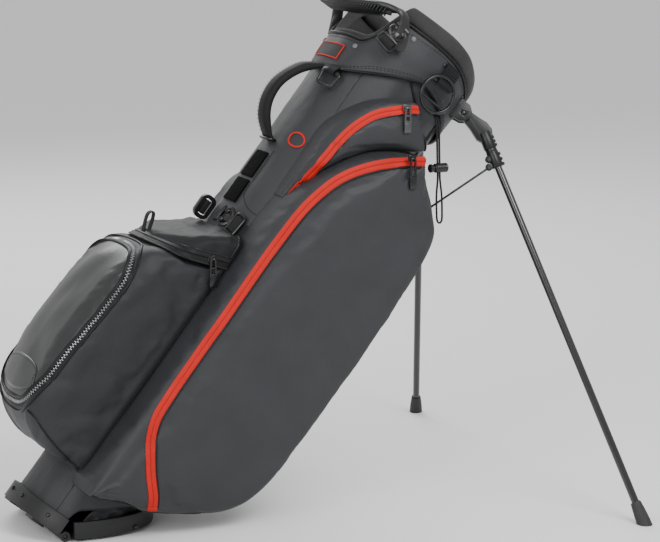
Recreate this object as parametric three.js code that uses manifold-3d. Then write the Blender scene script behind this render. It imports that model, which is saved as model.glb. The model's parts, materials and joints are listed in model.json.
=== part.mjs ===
// Golf stand bag, standing on its flexed base plate and two opened legs.
// Millimetres, +Z up, +X toward the legs. The bag is drawn upright in its own group
// (x across toward the leg side, y sideways, z up the tube) and the group is then leaned.
import * as THREE from 'three';
import * as BufferGeometryUtils from 'three/addons/utils/BufferGeometryUtils.js';
import Module from 'manifold-3d';

const wasm = await Module();
wasm.setup();

// ---- driving dimensions ----
const LEAN = THREE.MathUtils.degToRad(38.7);
const POWER = 2.4;
const TUBE_A = 97;
const TUBE_B = 95;
const WALL = 4;
const GAP = 0.4;
const BASE_A = 107;
const BASE_B = 103;
const PIN_X = -47.8;
const PIN_Z = 8;
const RIM_HIGH = 906;
const RIM_FRONT_DROP = 42;
const RIM_REAR_DROP = 70;
const PAD_HEIGHT = 27;
const FRAME_A = 100;
const FRAME_B = 98;
const POCKET_Y = 140;
const VALUABLES_Y = 116;
const FAR_POCKET_Y = 132;
const LEG_SPLAY = THREE.MathUtils.degToRad(30.7);
const LEG_OPEN = THREE.MathUtils.degToRad(56.1);
const LEG_PIN = new THREE.Vector3(93, -80, 832);
const LEG_RADIUS = 5.5;
const KNEE_OUT = 46;
const KNEE_DOWN = 9.4;
const CLAMP_ALONG = 36;
const WIRE_ALONG = 44;
const WIRE_IN = 13;
const YOKE = new THREE.Vector3(110, -16, 565);
const ROD_X = 104;
const ROD_END_Z = 154;
const LINK_OUT = 150;
const LINK_UP = 25.5;

// ---- colours ----
const CHARCOAL = 0x46484c;
const BLACK = 0x1b1c1e;
const MOULDED = 0x2b2d30;
const RED = 0xde4637;
const LEATHER = 0x3a3b3d;
const STEEL = 0x50555a;

const bag = new THREE.Group();
const group = new THREE.Group();
group.add(bag);

// ---- helpers ----
function addMesh(name, geometry, color, roughness, metalness = 0, parent = bag) {
  const material = new THREE.MeshStandardMaterial({ color, roughness, metalness });
  const mesh = new THREE.Mesh(geometry, material);
  mesh.name = name;
  parent.add(mesh);
  return mesh;
}

function solid(geometry) {
  const bare = geometry.clone();
  bare.deleteAttribute('normal');
  bare.deleteAttribute('uv');
  const merged = BufferGeometryUtils.mergeVertices(bare, 1e-4);
  return new wasm.Manifold(new wasm.Mesh({
    numProp: 3,
    vertProperties: new Float32Array(merged.attributes.position.array),
    triVerts: new Uint32Array(merged.index.array),
  }));
}

function geometryOf(manifold) {
  const mesh = manifold.getMesh();
  const geometry = new THREE.BufferGeometry();
  geometry.setAttribute('position', new THREE.BufferAttribute(mesh.vertProperties, 3));
  geometry.setIndex(new THREE.BufferAttribute(mesh.triVerts, 1));
  return geometry;
}

function joined(...geometries) {
  return geometries.map(solid).reduce((sum, next) => sum.add(next));
}

function box(x0, x1, y0, y1, z0, z1) {
  const geometry = new THREE.BoxGeometry(x1 - x0, y1 - y0, z1 - z0);
  return geometry.translate((x0 + x1) / 2, (y0 + y1) / 2, (z0 + z1) / 2);
}

// A straight round bar between two points.
function bar(from, to, radius, sides = 12, endRadius = radius) {
  const along = to.clone().sub(from);
  const turn = new THREE.Quaternion();
  turn.setFromUnitVectors(new THREE.Vector3(0, 1, 0), along.clone().normalize());
  const middle = from.clone().add(to).multiplyScalar(0.5);
  const geometry = new THREE.CylinderGeometry(endRadius, radius, along.length(), sides);
  return geometry.applyQuaternion(turn).translate(...middle.toArray());
}

function polygon(pairs) {
  return new THREE.Shape(pairs.map(([x, z]) => new THREE.Vector2(x, z)));
}

// An outline in the x-z plane, given thickness from y0 to y1, with rounded or grown edges.
function slabXZ(shape, y0, y1, bevel = 0, grow = 0) {
  const geometry = new THREE.ExtrudeGeometry(shape, {
    depth: y1 - y0 - 2 * bevel,
    curveSegments: 5,
    bevelEnabled: bevel > 0,
    bevelSize: bevel,
    bevelThickness: bevel,
    bevelOffset: grow - bevel,
    bevelSegments: 2,
  });
  return geometry.rotateX(Math.PI / 2).translate(0, y1 - bevel, 0);
}

// The outline of a strip of even width along a smooth planar line.
function stripOutline(pairs, width, steps) {
  const line = new THREE.SplineCurve(pairs.map(([x, z]) => new THREE.Vector2(x, z)));
  const left = [];
  const right = [];
  for (let i = 0; i <= steps; i += 1) {
    const point = line.getPoint(i / steps);
    const along = line.getTangent(i / steps);
    const side = new THREE.Vector2(-along.y, along.x).multiplyScalar(width / 2);
    left.push(point.clone().add(side));
    right.unshift(point.clone().sub(side));
  }
  return new THREE.Shape([...left, ...right]);
}

function superellipse(angle, a, b) {
  const c = Math.cos(angle);
  const s = Math.sin(angle);
  const power = 2 / POWER;
  return [a * Math.sign(c) * Math.abs(c) ** power, b * Math.sign(s) * Math.abs(s) ** power];
}

// A closed grid of points: a sheet between two surfaces of (u, v), either a patch or a ring in u.
function sheet(outside, inside, uSteps, vSteps, wraps) {
  const columns = wraps ? uSteps : uSteps + 1;
  const rows = vSteps + 1;
  const positions = [];
  for (const surface of [outside, inside]) {
    for (let i = 0; i < columns; i += 1) {
      for (let j = 0; j < rows; j += 1) {
        positions.push(...surface(i / uSteps, j / vSteps));
      }
    }
  }
  const at = (side, i, j) => side * columns * rows + (i % columns) * rows + j;
  const index = [];
  const quad = (a, b, c, d) => index.push(a, b, c, a, c, d);
  for (let i = 0; i < uSteps; i += 1) {
    for (let j = 0; j < vSteps; j += 1) {
      quad(at(0, i, j), at(0, i + 1, j), at(0, i + 1, j + 1), at(0, i, j + 1));
      quad(at(1, i, j), at(1, i, j + 1), at(1, i + 1, j + 1), at(1, i + 1, j));
    }
    quad(at(0, i, 0), at(1, i, 0), at(1, i + 1, 0), at(0, i + 1, 0));
    quad(at(0, i, vSteps), at(0, i + 1, vSteps), at(1, i + 1, vSteps), at(1, i, vSteps));
  }
  for (let j = 0; j < vSteps && !wraps; j += 1) {
    quad(at(0, 0, j), at(0, 0, j + 1), at(1, 0, j + 1), at(1, 0, j));
    quad(at(0, uSteps, j), at(1, uSteps, j), at(1, uSteps, j + 1), at(0, uSteps, j + 1));
  }
  const geometry = new THREE.BufferGeometry();
  geometry.setAttribute('position', new THREE.Float32BufferAttribute(positions, 3));
  geometry.setIndex(index);
  return geometry;
}

// A prism of the bag's rounded-square section, for cutting neighbours clear of the tube.
function sectionPrism(a, b, z0, z1, steps = 32) {
  const points = [];
  for (let i = 0; i < steps; i += 1) {
    points.push(new THREE.Vector2(...superellipse((i / steps) * 2 * Math.PI, a, b)));
  }
  const shape = new THREE.Shape(points);
  const geometry = new THREE.ExtrudeGeometry(shape, { depth: z1 - z0, bevelEnabled: false });
  return solid(geometry.translate(0, 0, z0));
}

// A section swept along a smooth line; the section's second axis stays close to `up`.
function sweep(points, section, steps, up) {
  const curve = new THREE.CatmullRomCurve3(points);
  const sides = section.length;
  const positions = [];
  const index = [];
  for (let i = 0; i <= steps; i += 1) {
    const centre = curve.getPoint(i / steps);
    const along = curve.getTangent(i / steps);
    const across = new THREE.Vector3().crossVectors(along, up).normalize();
    const rise = new THREE.Vector3().crossVectors(across, along);
    for (const [a, b] of section) {
      positions.push(...centre.clone().addScaledVector(across, a).addScaledVector(rise, b).toArray());
    }
  }
  for (let i = 0; i < steps; i += 1) {
    for (let j = 0; j < sides; j += 1) {
      const a = i * sides + j;
      const b = i * sides + ((j + 1) % sides);
      index.push(a, b + sides, b, a, a + sides, b + sides);
    }
  }
  const last = steps * sides;
  for (let j = 1; j + 1 < sides; j += 1) {
    index.push(0, j, j + 1, last, last + j + 1, last + j);
  }
  const geometry = new THREE.BufferGeometry();
  geometry.setAttribute('position', new THREE.Float32BufferAttribute(positions, 3));
  geometry.setIndex(index);
  return geometry;
}

// ---- profiles that several parts share, as heights on the tube at an angle round it ----
function rimTop(angle) {
  const [x] = superellipse(angle, TUBE_A, TUBE_B);
  const front = RIM_FRONT_DROP * Math.max(0, x / TUBE_A) ** 2.2;
  const rear = RIM_REAR_DROP * THREE.MathUtils.smoothstep(-x, 64, 90);
  return RIM_HIGH - front - rear;
}

function collarBottom(angle) {
  const across = superellipse(angle, 1, 1)[0];
  return across < 0 ? 822 - 56 * (-across) ** 1.3 : 822 - 47 * across ** 2;
}

// The front of the tube stops 40 mm above the ground, so that the base plate can fold up under it.
function tubeBottom(angle) {
  const [x] = superellipse(angle, TUBE_A, TUBE_B);
  const front = 51.3 + 0.801 * (x + 45);
  return THREE.MathUtils.lerp(front, 10, THREE.MathUtils.smoothstep(-x, 50, 62));
}

// ---- tube: four stiffened fabric panels ----
function tubePanel(name, middle) {
  const reach = Math.PI / 4 - 0.006;
  const surface = (inset) => (u, v) => {
    const angle = middle + (2 * u - 1) * reach;
    const z = THREE.MathUtils.lerp(tubeBottom(angle), collarBottom(angle) + 8, v);
    return [...superellipse(angle, TUBE_A - inset, TUBE_B - inset), z];
  };
  addMesh(name, sheet(surface(0), surface(WALL), 8, 1, false), CHARCOAL, 0.85);
}
tubePanel('tube_leg_panel', 0);
tubePanel('tube_far_panel', Math.PI / 2);
tubePanel('tube_rear_panel', Math.PI);
tubePanel('tube_near_panel', -Math.PI / 2);

// ---- stays and dividers inside ----
for (const [name, side] of [['stay_rod_near', -1], ['stay_rod_far', 1]]) {
  const foot = new THREE.Vector3(-65, side * 67, 9);
  addMesh(name, bar(foot, foot.clone().setZ(790), 2.5, 8), BLACK, 0.5);
}

const DIVIDER_HALF = 1.5;
const longOutline = polygon([[-91, 14], [-64, 14], [-50, 70], [88, 184], [91, 830], [50, 858], [-20, 856],
  [-60, 815], [-91, 800]]);
addMesh('divider_long', slabXZ(longOutline, -DIVIDER_HALF, DIVIDER_HALF), BLACK, 0.9);
const nearCross = box(-DIVIDER_HALF, DIVIDER_HALF, -89, -DIVIDER_HALF - GAP, 106, 856);
addMesh('divider_near', nearCross, BLACK, 0.9);
addMesh('divider_far', nearCross.clone().rotateZ(Math.PI), BLACK, 0.9);

// ---- cuff: moulded top frame, padded rim, fabric collar, lift handle ----
const frameSurface = (inset) => (u, v) => {
  const angle = u * 2 * Math.PI;
  const z = THREE.MathUtils.lerp(collarBottom(angle) + 9, rimTop(angle) - PAD_HEIGHT, v);
  return [...superellipse(angle, FRAME_A - inset, FRAME_B - inset), z];
};
addMesh('top_frame', sheet(frameSurface(0), frameSurface(6), 40, 1, true), MOULDED, 0.6);

const padSurface = (side) => (u, v) => {
  const angle = u * 2 * Math.PI;
  const reach = side * (7 + 5 * Math.sin(v * Math.PI));
  const z = THREE.MathUtils.lerp(rimTop(angle) - PAD_HEIGHT + 1, rimTop(angle), v);
  return [...superellipse(angle, TUBE_A + reach, TUBE_B + reach), z];
};
addMesh('rim_pad', sheet(padSurface(1), padSurface(-1), 40, 3, true), BLACK, 0.95);

const collarSurface = (grow) => (u, v) => {
  const angle = u * 2 * Math.PI;
  const flare = grow + 2 * v;
  const z = THREE.MathUtils.lerp(collarBottom(angle), rimTop(angle) - PAD_HEIGHT - 1, v);
  return [...superellipse(angle, FRAME_A + flare, FRAME_B + flare), z];
};
addMesh('cuff_collar', sheet(collarSurface(3.4), collarSurface(GAP), 40, 1, true), CHARCOAL, 0.85);

function liftHandle() {
  const half = [[-58, -111, 885], [-84, -106, 881], [-113, -84, 869], [-129, -46, 859]];
  const mirrored = half.map(([x, y, z]) => [x, -y, z]).reverse();
  const points = [...half, [-135, 0, 856], ...mirrored].map((point) => new THREE.Vector3(...point));
  const section = [[-11, -6], [11, -6], [11, 4], [6, 8], [-6, 8], [-11, 4]];
  const arch = sweep(points, section, 24, new THREE.Vector3(0, 0, 1));
  const nearTab = box(-74, -52, -115, -102, 852, 886);
  const farTab = nearTab.clone().rotateZ(Math.PI).translate(-126, 0, 0);
  return geometryOf(joined(arch, nearTab, farTab));
}
addMesh('lift_handle', liftHandle(), MOULDED, 0.5);

function buckle(name, place, tilt, facing) {
  const geometry = geometryOf(joined(
    box(-16, 16, -4, 4, -11, 11),
    box(-24, -14, -3, 3, -13, 13),
    box(14, 25, -3, 3, -10, 10),
  ).subtract(solid(box(-21.5, -18, -9, 9, -9, 9))));
  const turned = geometry.rotateY(THREE.MathUtils.degToRad(tilt)).rotateZ(THREE.MathUtils.degToRad(facing));
  addMesh(name, turned.translate(...place), BLACK, 0.35);
}
buckle('cuff_buckle', [-82, -88, 842], 90, 139);

// ---- base: rear cup, front plate, hinge pin, fabric gusset ----
const CUP_HEIGHT = 30;
const PLATE_HEIGHT = 28;
const FOOT_HEIGHT = 4;
const KNUCKLE = 7.2;
const PIN_RADIUS = 3;

function baseDish(x0, x1, height, footXs, knuckles) {
  const outer = sectionPrism(BASE_A, BASE_B, FOOT_HEIGHT, height);
  const inner = sectionPrism(BASE_A - 7.5, BASE_B - 6, FOOT_HEIGHT + 4, height + 5);
  const keep = solid(box(x0, x1, -120, 120, -5, 60));
  let dish = outer.subtract(inner).intersect(keep);
  for (const [x, y] of footXs) {
    dish = dish.add(solid(box(x - 11, x + 11, y - 14, y + 14, 0, FOOT_HEIGHT + 1)));
  }
  const edge = x1 < 0 ? x1 - 2 : x0 + 2;
  for (const [y0, y1] of knuckles) {
    const from = new THREE.Vector3(PIN_X, y0, PIN_Z);
    dish = dish.add(solid(bar(from, from.clone().setY(y1), KNUCKLE, 16)));
    dish = dish.add(solid(box(Math.min(edge, PIN_X), Math.max(edge, PIN_X), y0, y1, FOOT_HEIGHT, FOOT_HEIGHT + 4)));
  }
  const bore = bar(new THREE.Vector3(PIN_X, -110, PIN_Z), new THREE.Vector3(PIN_X, 110, PIN_Z), PIN_RADIUS + 0.25, 16);
  return dish.subtract(solid(bore));
}
const cupKnuckles = [[-94, -62], [-20, 20], [62, 94]];
const plateKnuckles = [[-61, -21], [21, 61]];
const cup = baseDish(-120, PIN_X - 9, CUP_HEIGHT, [[-80, -48], [-80, 48]], cupKnuckles);
addMesh('base_cup', geometryOf(cup), BLACK, 0.55);

const hinge = new THREE.Group();
hinge.position.set(PIN_X, 0, PIN_Z);
hinge.rotation.y = -LEAN;
bag.add(hinge);
const lug = solid(box(97, 105, 0.5, 6, PLATE_HEIGHT - 12, PIN_Z + LINK_UP + 4));
const lugBore = solid(bar(new THREE.Vector3(PIN_X + LINK_OUT, -9, PIN_Z + LINK_UP),
  new THREE.Vector3(PIN_X + LINK_OUT, 9, PIN_Z + LINK_UP), 2.2, 12));
const plate = baseDish(PIN_X + 11.5, 120, PLATE_HEIGHT, [[84, -38], [84, 38], [-22, -70], [-22, 70]], plateKnuckles);
const plateMesh = geometryOf(plate.add(lug).subtract(lugBore)).translate(-PIN_X, 0, -PIN_Z);
addMesh('base_plate', plateMesh, BLACK, 0.55, 0, hinge);
const pinEnd = new THREE.Vector3(PIN_X, 93, PIN_Z);
addMesh('base_hinge_pin', bar(pinEnd.clone().setY(-93), pinEnd, PIN_RADIUS, 16), STEEL, 0.3, 0.9);

// The gusset runs from inside the plate's wall up to the cut end of the tube.
const gussetSurface = (inset) => (u, v) => {
  const angle = (2 * u - 1) * 1.85;
  const [xPlate, yPlate] = superellipse(angle, BASE_A - 11 - inset, BASE_B - 10 - inset);
  const [xTube, yTube] = superellipse(angle, TUBE_A - WALL - 2 - inset, TUBE_B - WALL - 2 - inset);
  const out = xPlate - PIN_X;
  const up = 2 + 28 * Math.min(1, 2 * v) * Math.min(1, out / 90);
  const low = [
    PIN_X + out * Math.cos(LEAN) - up * Math.sin(LEAN),
    yPlate,
    PIN_Z + out * Math.sin(LEAN) + up * Math.cos(LEAN),
  ];
  const high = [xTube, yTube, tubeBottom(angle) + 6];
  const blend = Math.max(0, 2 * v - 1);
  return low.map((value, axis) => THREE.MathUtils.lerp(value, high[axis], blend));
};
addMesh('base_gusset', sheet(gussetSurface(0), gussetSurface(1.5), 18, 4, false), CHARCOAL, 0.9);

// ---- pockets ----
const tubeCut = sectionPrism(TUBE_A + GAP, TUBE_B + GAP, -20, 1000);

// The folding legs swing through this wedge, so the side pockets stay outside it.
function legWedge(side) {
  const outline = [[78, -50], [78, -97], [95, -103], [190, -147], [190, -50]];
  const shape = new THREE.Shape(outline.map(([x, y]) => new THREE.Vector2(x, side * -y)));
  return solid(new THREE.ExtrudeGeometry(shape, { depth: 1000, bevelEnabled: false }));
}

function smoothShape(pairs) {
  const line = new THREE.SplineCurve(pairs.map(([x, z]) => new THREE.Vector2(x, z)));
  return new THREE.Shape(line.getPoints(2 * pairs.length).slice(0, -1));
}

const apparelOutline = smoothShape([[-73, 74], [-20, 90], [30, 104], [113, 158], [148, 215], [159, 300],
  [161, 420], [160, 540], [150, 640], [122, 680], [60, 737], [24, 714], [-12, 683], [-42, 640], [-58, 600],
  [-67, 540], [-69, 420], [-69, 240], [-73, 150], [-73, 74]]);
const apparel = solid(slabXZ(apparelOutline, -POCKET_Y, -60, 7));
addMesh('apparel_pocket', geometryOf(apparel.subtract(tubeCut).subtract(legWedge(-1))), CHARCOAL, 0.85);

const valuablesOutline = polygon([[-73, 570], [-72, 640], [-66, 694], [-52, 733], [-30, 765], [2, 792], [8, 792],
  [32, 768], [56, 752], [62, 749], [22, 722], [-15, 690], [-46, 646], [-62, 606], [-68, 570]]);
const valuables = solid(slabXZ(valuablesOutline, -VALUABLES_Y, -50));
addMesh('valuables_pocket', geometryOf(valuables.subtract(tubeCut).subtract(apparel)), CHARCOAL, 0.85);

const farOutline = smoothShape([[-60, 200], [20, 196], [110, 230], [138, 300], [140, 480], [120, 570], [60, 612],
  [-40, 610], [-62, 570], [-64, 300], [-60, 200]]);
const farPocket = solid(slabXZ(farOutline, 60, FAR_POCKET_Y, 7));
addMesh('accessory_pocket_far', geometryOf(farPocket.subtract(tubeCut).subtract(legWedge(1))), CHARCOAL, 0.85);

const BALL_HALF = 92;
const ballOutline = polygon([[-80, 92], [-80, 450], [-150, 438], [-196, 420], [-214, 400], [-220, 360], [-219, 300],
  [-216, 230], [-212, 160], [-206, 128], [-186, 108], [-150, 92]]);
const ballBody = (grow) => solid(slabXZ(ballOutline, -BALL_HALF - grow, BALL_HALF + grow, 14, grow));
const sideClear = (y) => solid(box(-79, -40, Math.min(y, y * 2), Math.max(y, y * 2), 0, 700));
const ball = ballBody(0).subtract(tubeCut).subtract(sideClear(-70)).subtract(sideClear(70));
addMesh('ball_pocket', geometryOf(ball), CHARCOAL, 0.8);
const panelSide = solid(box(-240, -188, -120, 120, 90, 480));
const panelShell = ballBody(3).subtract(ballBody(GAP)).intersect(panelSide);
addMesh('ball_pocket_panel', geometryOf(panelShell), LEATHER, 0.3);
const zipSide = solid(box(-187, -173, -120, 120, 122, 480));
addMesh('ball_zip', geometryOf(ballBody(2).subtract(ballBody(GAP)).intersect(zipSide)), BLACK, 0.4);

const hoodOutline = polygon([[-80, 453], [-80, 490], [-99, 489], [-112, 479], [-176, 446], [-180, 436],
  [-150, 441]]);
const hoodBody = (grow) => solid(slabXZ(hoodOutline, -84 - grow, 84 + grow, 5, grow));
const hood = hoodBody(0).subtract(tubeCut).subtract(ballBody(GAP)).subtract(sideClear(-70)).subtract(sideClear(70));
addMesh('hood_pocket', geometryOf(hood), CHARCOAL, 0.85);
const hoodZipLine = [[-150, 421], [-118, 431], [-90, 441]];
const hoodZipStrip = slabXZ(stripOutline(hoodZipLine, 8, 4), -BALL_HALF - 2, -BALL_HALF - GAP);
addMesh('hood_zip', hoodZipStrip, BLACK, 0.4);

// ---- zips on the near side ----
const apparelZipLine = [[17, 112], [-11, 140], [-38, 170], [-54, 200], [-60, 240], [-60, 420], [-58, 548],
  [-48, 606], [-33, 642], [-6, 680], [26, 709], [46, 724]];
addMesh('apparel_zip', slabXZ(stripOutline(apparelZipLine, 14, 22), -POCKET_Y - 2, -POCKET_Y - GAP), RED, 0.7);
const valuablesZipLine = [[-69, 578], [-64, 650], [-56, 700], [-40, 740], [-16, 766], [4, 784]];
addMesh('valuables_zip', slabXZ(stripOutline(valuablesZipLine, 9, 12), -VALUABLES_Y - 2, -VALUABLES_Y - GAP), RED, 0.7);

// ---- webbing and hardware on the spine ----
const carryLine = [[-99, 757], [-122, 757], [-147, 738], [-155, 705], [-147, 668], [-128, 644], [-101, 632]];
addMesh('carry_handle', slabXZ(stripOutline(carryLine, 9, 18), -14, 14, 2), BLACK, 0.8);
addMesh('hook_pad_upper', box(-103, -TUBE_A - GAP, -20, 20, 575, 618), BLACK, 0.95);
addMesh('hook_pad_lower', box(-103, -TUBE_A - GAP, -20, 20, 532, 570), BLACK, 0.95);
const loopLine = [[-99, 496], [-116, 500], [-122, 511], [-116, 522], [-99, 526]];
addMesh('spine_strap_loop', slabXZ(stripOutline(loopLine, 4, 12), 30, 56), BLACK, 0.8);
buckle('spine_buckle', [-96.5, -47.5, 508], 0, 111);

// ---- rings ----
const TAB_Y = -(FRAME_B + 6.5);
addMesh('towel_ring_tab', box(13, 39, TAB_Y - 3, TAB_Y, 834, 866), BLACK, 0.8);
const RING_Y = TAB_Y - 6.2;
const ring = new THREE.TorusGeometry(26.5, 2.5, 8, 28).rotateX(Math.PI / 2).translate(26, RING_Y, 823);
const chord = (z) => {
  const half = Math.sqrt(26.5 ** 2 - (z - 823) ** 2);
  return bar(new THREE.Vector3(26 - half, RING_Y, z), new THREE.Vector3(26 + half, RING_Y, z), 1.8, 8);
};
addMesh('towel_ring', geometryOf(joined(ring, chord(838), chord(810))), BLACK, 0.35);

const strapRing = geometryOf(solid(box(-2, 2, -15, 15, -22, 2)).subtract(solid(box(-5, 5, -10.5, 10.5, -17.5, -2.5))));
const strapRingMesh = addMesh('strap_ring', strapRing, BLACK, 0.35);
strapRingMesh.position.set(-100.5, -46, 763);
strapRingMesh.rotation.z = THREE.MathUtils.degToRad(21);

// ---- zip pulls, hanging straight down ----
function pull(name, place, length, color) {
  const hanger = new THREE.Group();
  hanger.position.set(...place);
  hanger.rotation.y = -LEAN;
  bag.add(hanger);
  const blade = solid(slabXZ(polygon([[-3.2, 3], [3.2, 3], [5.5, -length * 0.3], [5.5, -length], [-5.5, -length],
    [-5.5, -length * 0.3]]), -1.2, 1.2)).subtract(solid(box(-2.6, 2.6, -4, 4, -length * 0.72, -length * 0.3)));
  addMesh(name, geometryOf(blade), color, 0.35, 0.4, hanger);
}
pull('valuables_pull', [-6, -VALUABLES_Y - 5.5, 778], 36, STEEL);
pull('apparel_pull', [35, -POCKET_Y - 5.5, 722], 44, BLACK);
pull('hood_pull', [-108, -BALL_HALF - 5.5, 440], 40, BLACK);

// ---- stand: brackets, pins, elbows, leg tubes, wire clamps, feet ----
const out = new THREE.Vector3(Math.cos(LEG_SPLAY), -Math.sin(LEG_SPLAY), 0);
const up = new THREE.Vector3(0, 0, 1);
const side = new THREE.Vector3(Math.sin(LEG_SPLAY), Math.cos(LEG_SPLAY), 0);
const down = out.clone().multiplyScalar(Math.sin(LEG_OPEN)).addScaledVector(up, -Math.cos(LEG_OPEN));
const inward = out.clone().multiplyScalar(-Math.cos(LEG_OPEN)).addScaledVector(up, -Math.sin(LEG_OPEN));
const knee = LEG_PIN.clone().addScaledVector(out, KNEE_OUT).addScaledVector(up, -KNEE_DOWN);
// The legs reach the same level ground as the base plate, whose feet are PIN_Z below its hinge.
const height = (point) => point.z * Math.cos(LEAN) - point.x * Math.sin(LEAN);
const ground = height(new THREE.Vector3(PIN_X, 0, PIN_Z)) - PIN_Z;
const LEG_LENGTH = (height(knee) - ground) / -height(down);
const onLeg = (along, toward = 0) => knee.clone().addScaledVector(down, along).addScaledVector(inward, toward);
const collarCut = sectionPrism(FRAME_A + 5.8, FRAME_B + 5.8, 700, 1000);

// A flat outline in the leg's swing plane (out, up) about its pin, with thickness along the pin.
function swingSlab(pairs, thickness, offset = 0) {
  const geometry = slabXZ(polygon(pairs), -thickness / 2, thickness / 2);
  return geometry.translate(0, offset, 0).rotateZ(-LEG_SPLAY).translate(...LEG_PIN.toArray());
}

function roundOutline(radius, sides) {
  return Array.from({ length: sides }, (_, i) => [
    radius * Math.cos((2 * Math.PI * i) / sides),
    radius * Math.sin((2 * Math.PI * i) / sides),
  ]);
}

const LUG_WIDTH = 11;
const CHEEK = 4;
const cheekOutline = [[-22, -15], [2, -13], [10, -8], [12, 0], [10, 8], [2, 15], [-22, 17]];
const boreCut = solid(swingSlab(roundOutline(3.3, 12), 40));
const cheekOffset = LUG_WIDTH / 2 + 0.6 + CHEEK / 2;
const bracket = solid(swingSlab(cheekOutline, CHEEK, cheekOffset))
  .add(solid(swingSlab(cheekOutline, CHEEK, -cheekOffset)))
  .add(solid(swingSlab([[-22, -15], [-8.4, -15], [-8.4, 17], [-22, 17]], 2 * cheekOffset + CHEEK)))
  .subtract(boreCut)
  .subtract(collarCut);
const armOutline = [[-7, -3], [-3, -7], [5, -8.5], [20, -13], [38, -21], [46, -20], [53, -12], [53, -2], [47, 5],
  [36, 8.5], [20, 8], [5, 8.5], [-3, 7], [-7, 3]];
const socket = bar(onLeg(-6), onLeg(19), 9.5, 12);
const legHole = solid(bar(onLeg(2), onLeg(60), LEG_RADIUS + GAP, 12));
const elbow = solid(swingSlab(armOutline, LUG_WIDTH)).add(solid(socket)).subtract(boreCut).subtract(legHole);
const legPin = bar(LEG_PIN.clone().addScaledVector(side, -12), LEG_PIN.clone().addScaledVector(side, 12), 3, 12);
const legTube = bar(onLeg(3), onLeg(LEG_LENGTH - 20), LEG_RADIUS, 12);
const wirePivot = onLeg(WIRE_ALONG, WIRE_IN);
const lobeEnd = (offset) => wirePivot.clone().addScaledVector(side, offset);
const clampLobe = bar(lobeEnd(-6.3), lobeEnd(-3.2), 5.5, 10);
const clampBody = solid(bar(onLeg(CLAMP_ALONG - 12), onLeg(CLAMP_ALONG + 12), 9, 12))
  .add(solid(clampLobe))
  .subtract(solid(bar(onLeg(0), onLeg(80), LEG_RADIUS + GAP, 12)));
const footTop = onLeg(LEG_LENGTH - 32);
const groundCut = solid(box(-400, 400, -400, 400, -80, 0).rotateY(-LEAN).translate(...onLeg(LEG_LENGTH).toArray()));
const footHole = solid(bar(onLeg(LEG_LENGTH - 60), onLeg(LEG_LENGTH - 19), LEG_RADIUS + GAP, 12));
const legFoot = solid(bar(footTop, onLeg(LEG_LENGTH + 10), 7.5, 14, 13)).subtract(groundCut).subtract(footHole);
const wire = joined(
  bar(wirePivot, YOKE, 1.6, 8),
  bar(wirePivot.clone().addScaledVector(side, -1.9), wirePivot.clone().addScaledVector(side, 1.6), 3.2, 8),
);

const standPieces = [
  ['leg_bracket', geometryOf(bracket), MOULDED, 0.45, 0],
  ['leg_pin', legPin, STEEL, 0.3, 0.9],
  ['elbow', geometryOf(elbow), MOULDED, 0.4, 0],
  ['leg_tube', legTube, BLACK, 0.2, 0.6],
  ['wire_clamp', geometryOf(clampBody), MOULDED, 0.4, 0],
  ['foot', geometryOf(legFoot), BLACK, 0.8, 0],
  ['wire', geometryOf(wire), STEEL, 0.35, 0.9],
];
function mirroredAcross(geometry) {
  const copy = geometry.clone().scale(1, -1, 1);
  const flipped = copy.index.clone();
  for (let i = 0; i < flipped.count; i += 3) {
    flipped.setX(i, copy.index.getX(i + 1));
    flipped.setX(i + 1, copy.index.getX(i));
  }
  copy.setIndex(flipped);
  return copy;
}
for (const [name, geometry, color, roughness, metalness] of standPieces) {
  addMesh(`${name}_near`, geometry, color, roughness, metalness);
  addMesh(`${name}_far`, mirroredAcross(geometry), color, roughness, metalness);
}

// ---- actuator: push rod and yoke, guides, link to the base plate ----
const rod = joined(box(ROD_X - 2, ROD_X + 2, -6, 6, ROD_END_Z - 6, YOKE.z + 8), box(ROD_X - 2, ROD_X + 2, -22, 22,
  YOKE.z - 8, YOKE.z + 8)).subtract(solid(bar(new THREE.Vector3(ROD_X, -9, ROD_END_Z),
  new THREE.Vector3(ROD_X, 9, ROD_END_Z), 1.6, 12)));
addMesh('actuator_rod', geometryOf(rod), BLACK, 0.4);
for (const [name, z] of [['actuator_guide_upper', 450], ['actuator_guide_lower', 230]]) {
  const guide = solid(box(TUBE_A - 6, ROD_X + 6, -11, 11, z, z + 26))
    .subtract(solid(box(ROD_X - 3, ROD_X + 3, -7, 7, z - 5, z + 31)))
    .subtract(tubeCut);
  addMesh(name, geometryOf(guide), BLACK, 0.8);
}
const rodEnd = new THREE.Vector3(ROD_X, 8, ROD_END_Z);
const lugEnd = new THREE.Vector3(LINK_OUT, 8, LINK_UP);
lugEnd.applyAxisAngle(new THREE.Vector3(0, 1, 0), -LEAN).add(new THREE.Vector3(PIN_X, 0, PIN_Z));
const linkPlate = [rodEnd, lugEnd].map((end) => bar(end.clone().setY(6.6), end.clone().setY(9.6), 4, 12));
const along = lugEnd.clone().sub(rodEnd);
const linkBar = box(-2.5, 2.5, -1.5, 1.5, 0, along.length()).rotateY(Math.atan2(along.x, along.z)).translate(ROD_X, 8.1,
  ROD_END_Z);
addMesh('actuator_link', geometryOf(joined(...linkPlate, linkBar)), STEEL, 0.4, 0.8);

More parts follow.
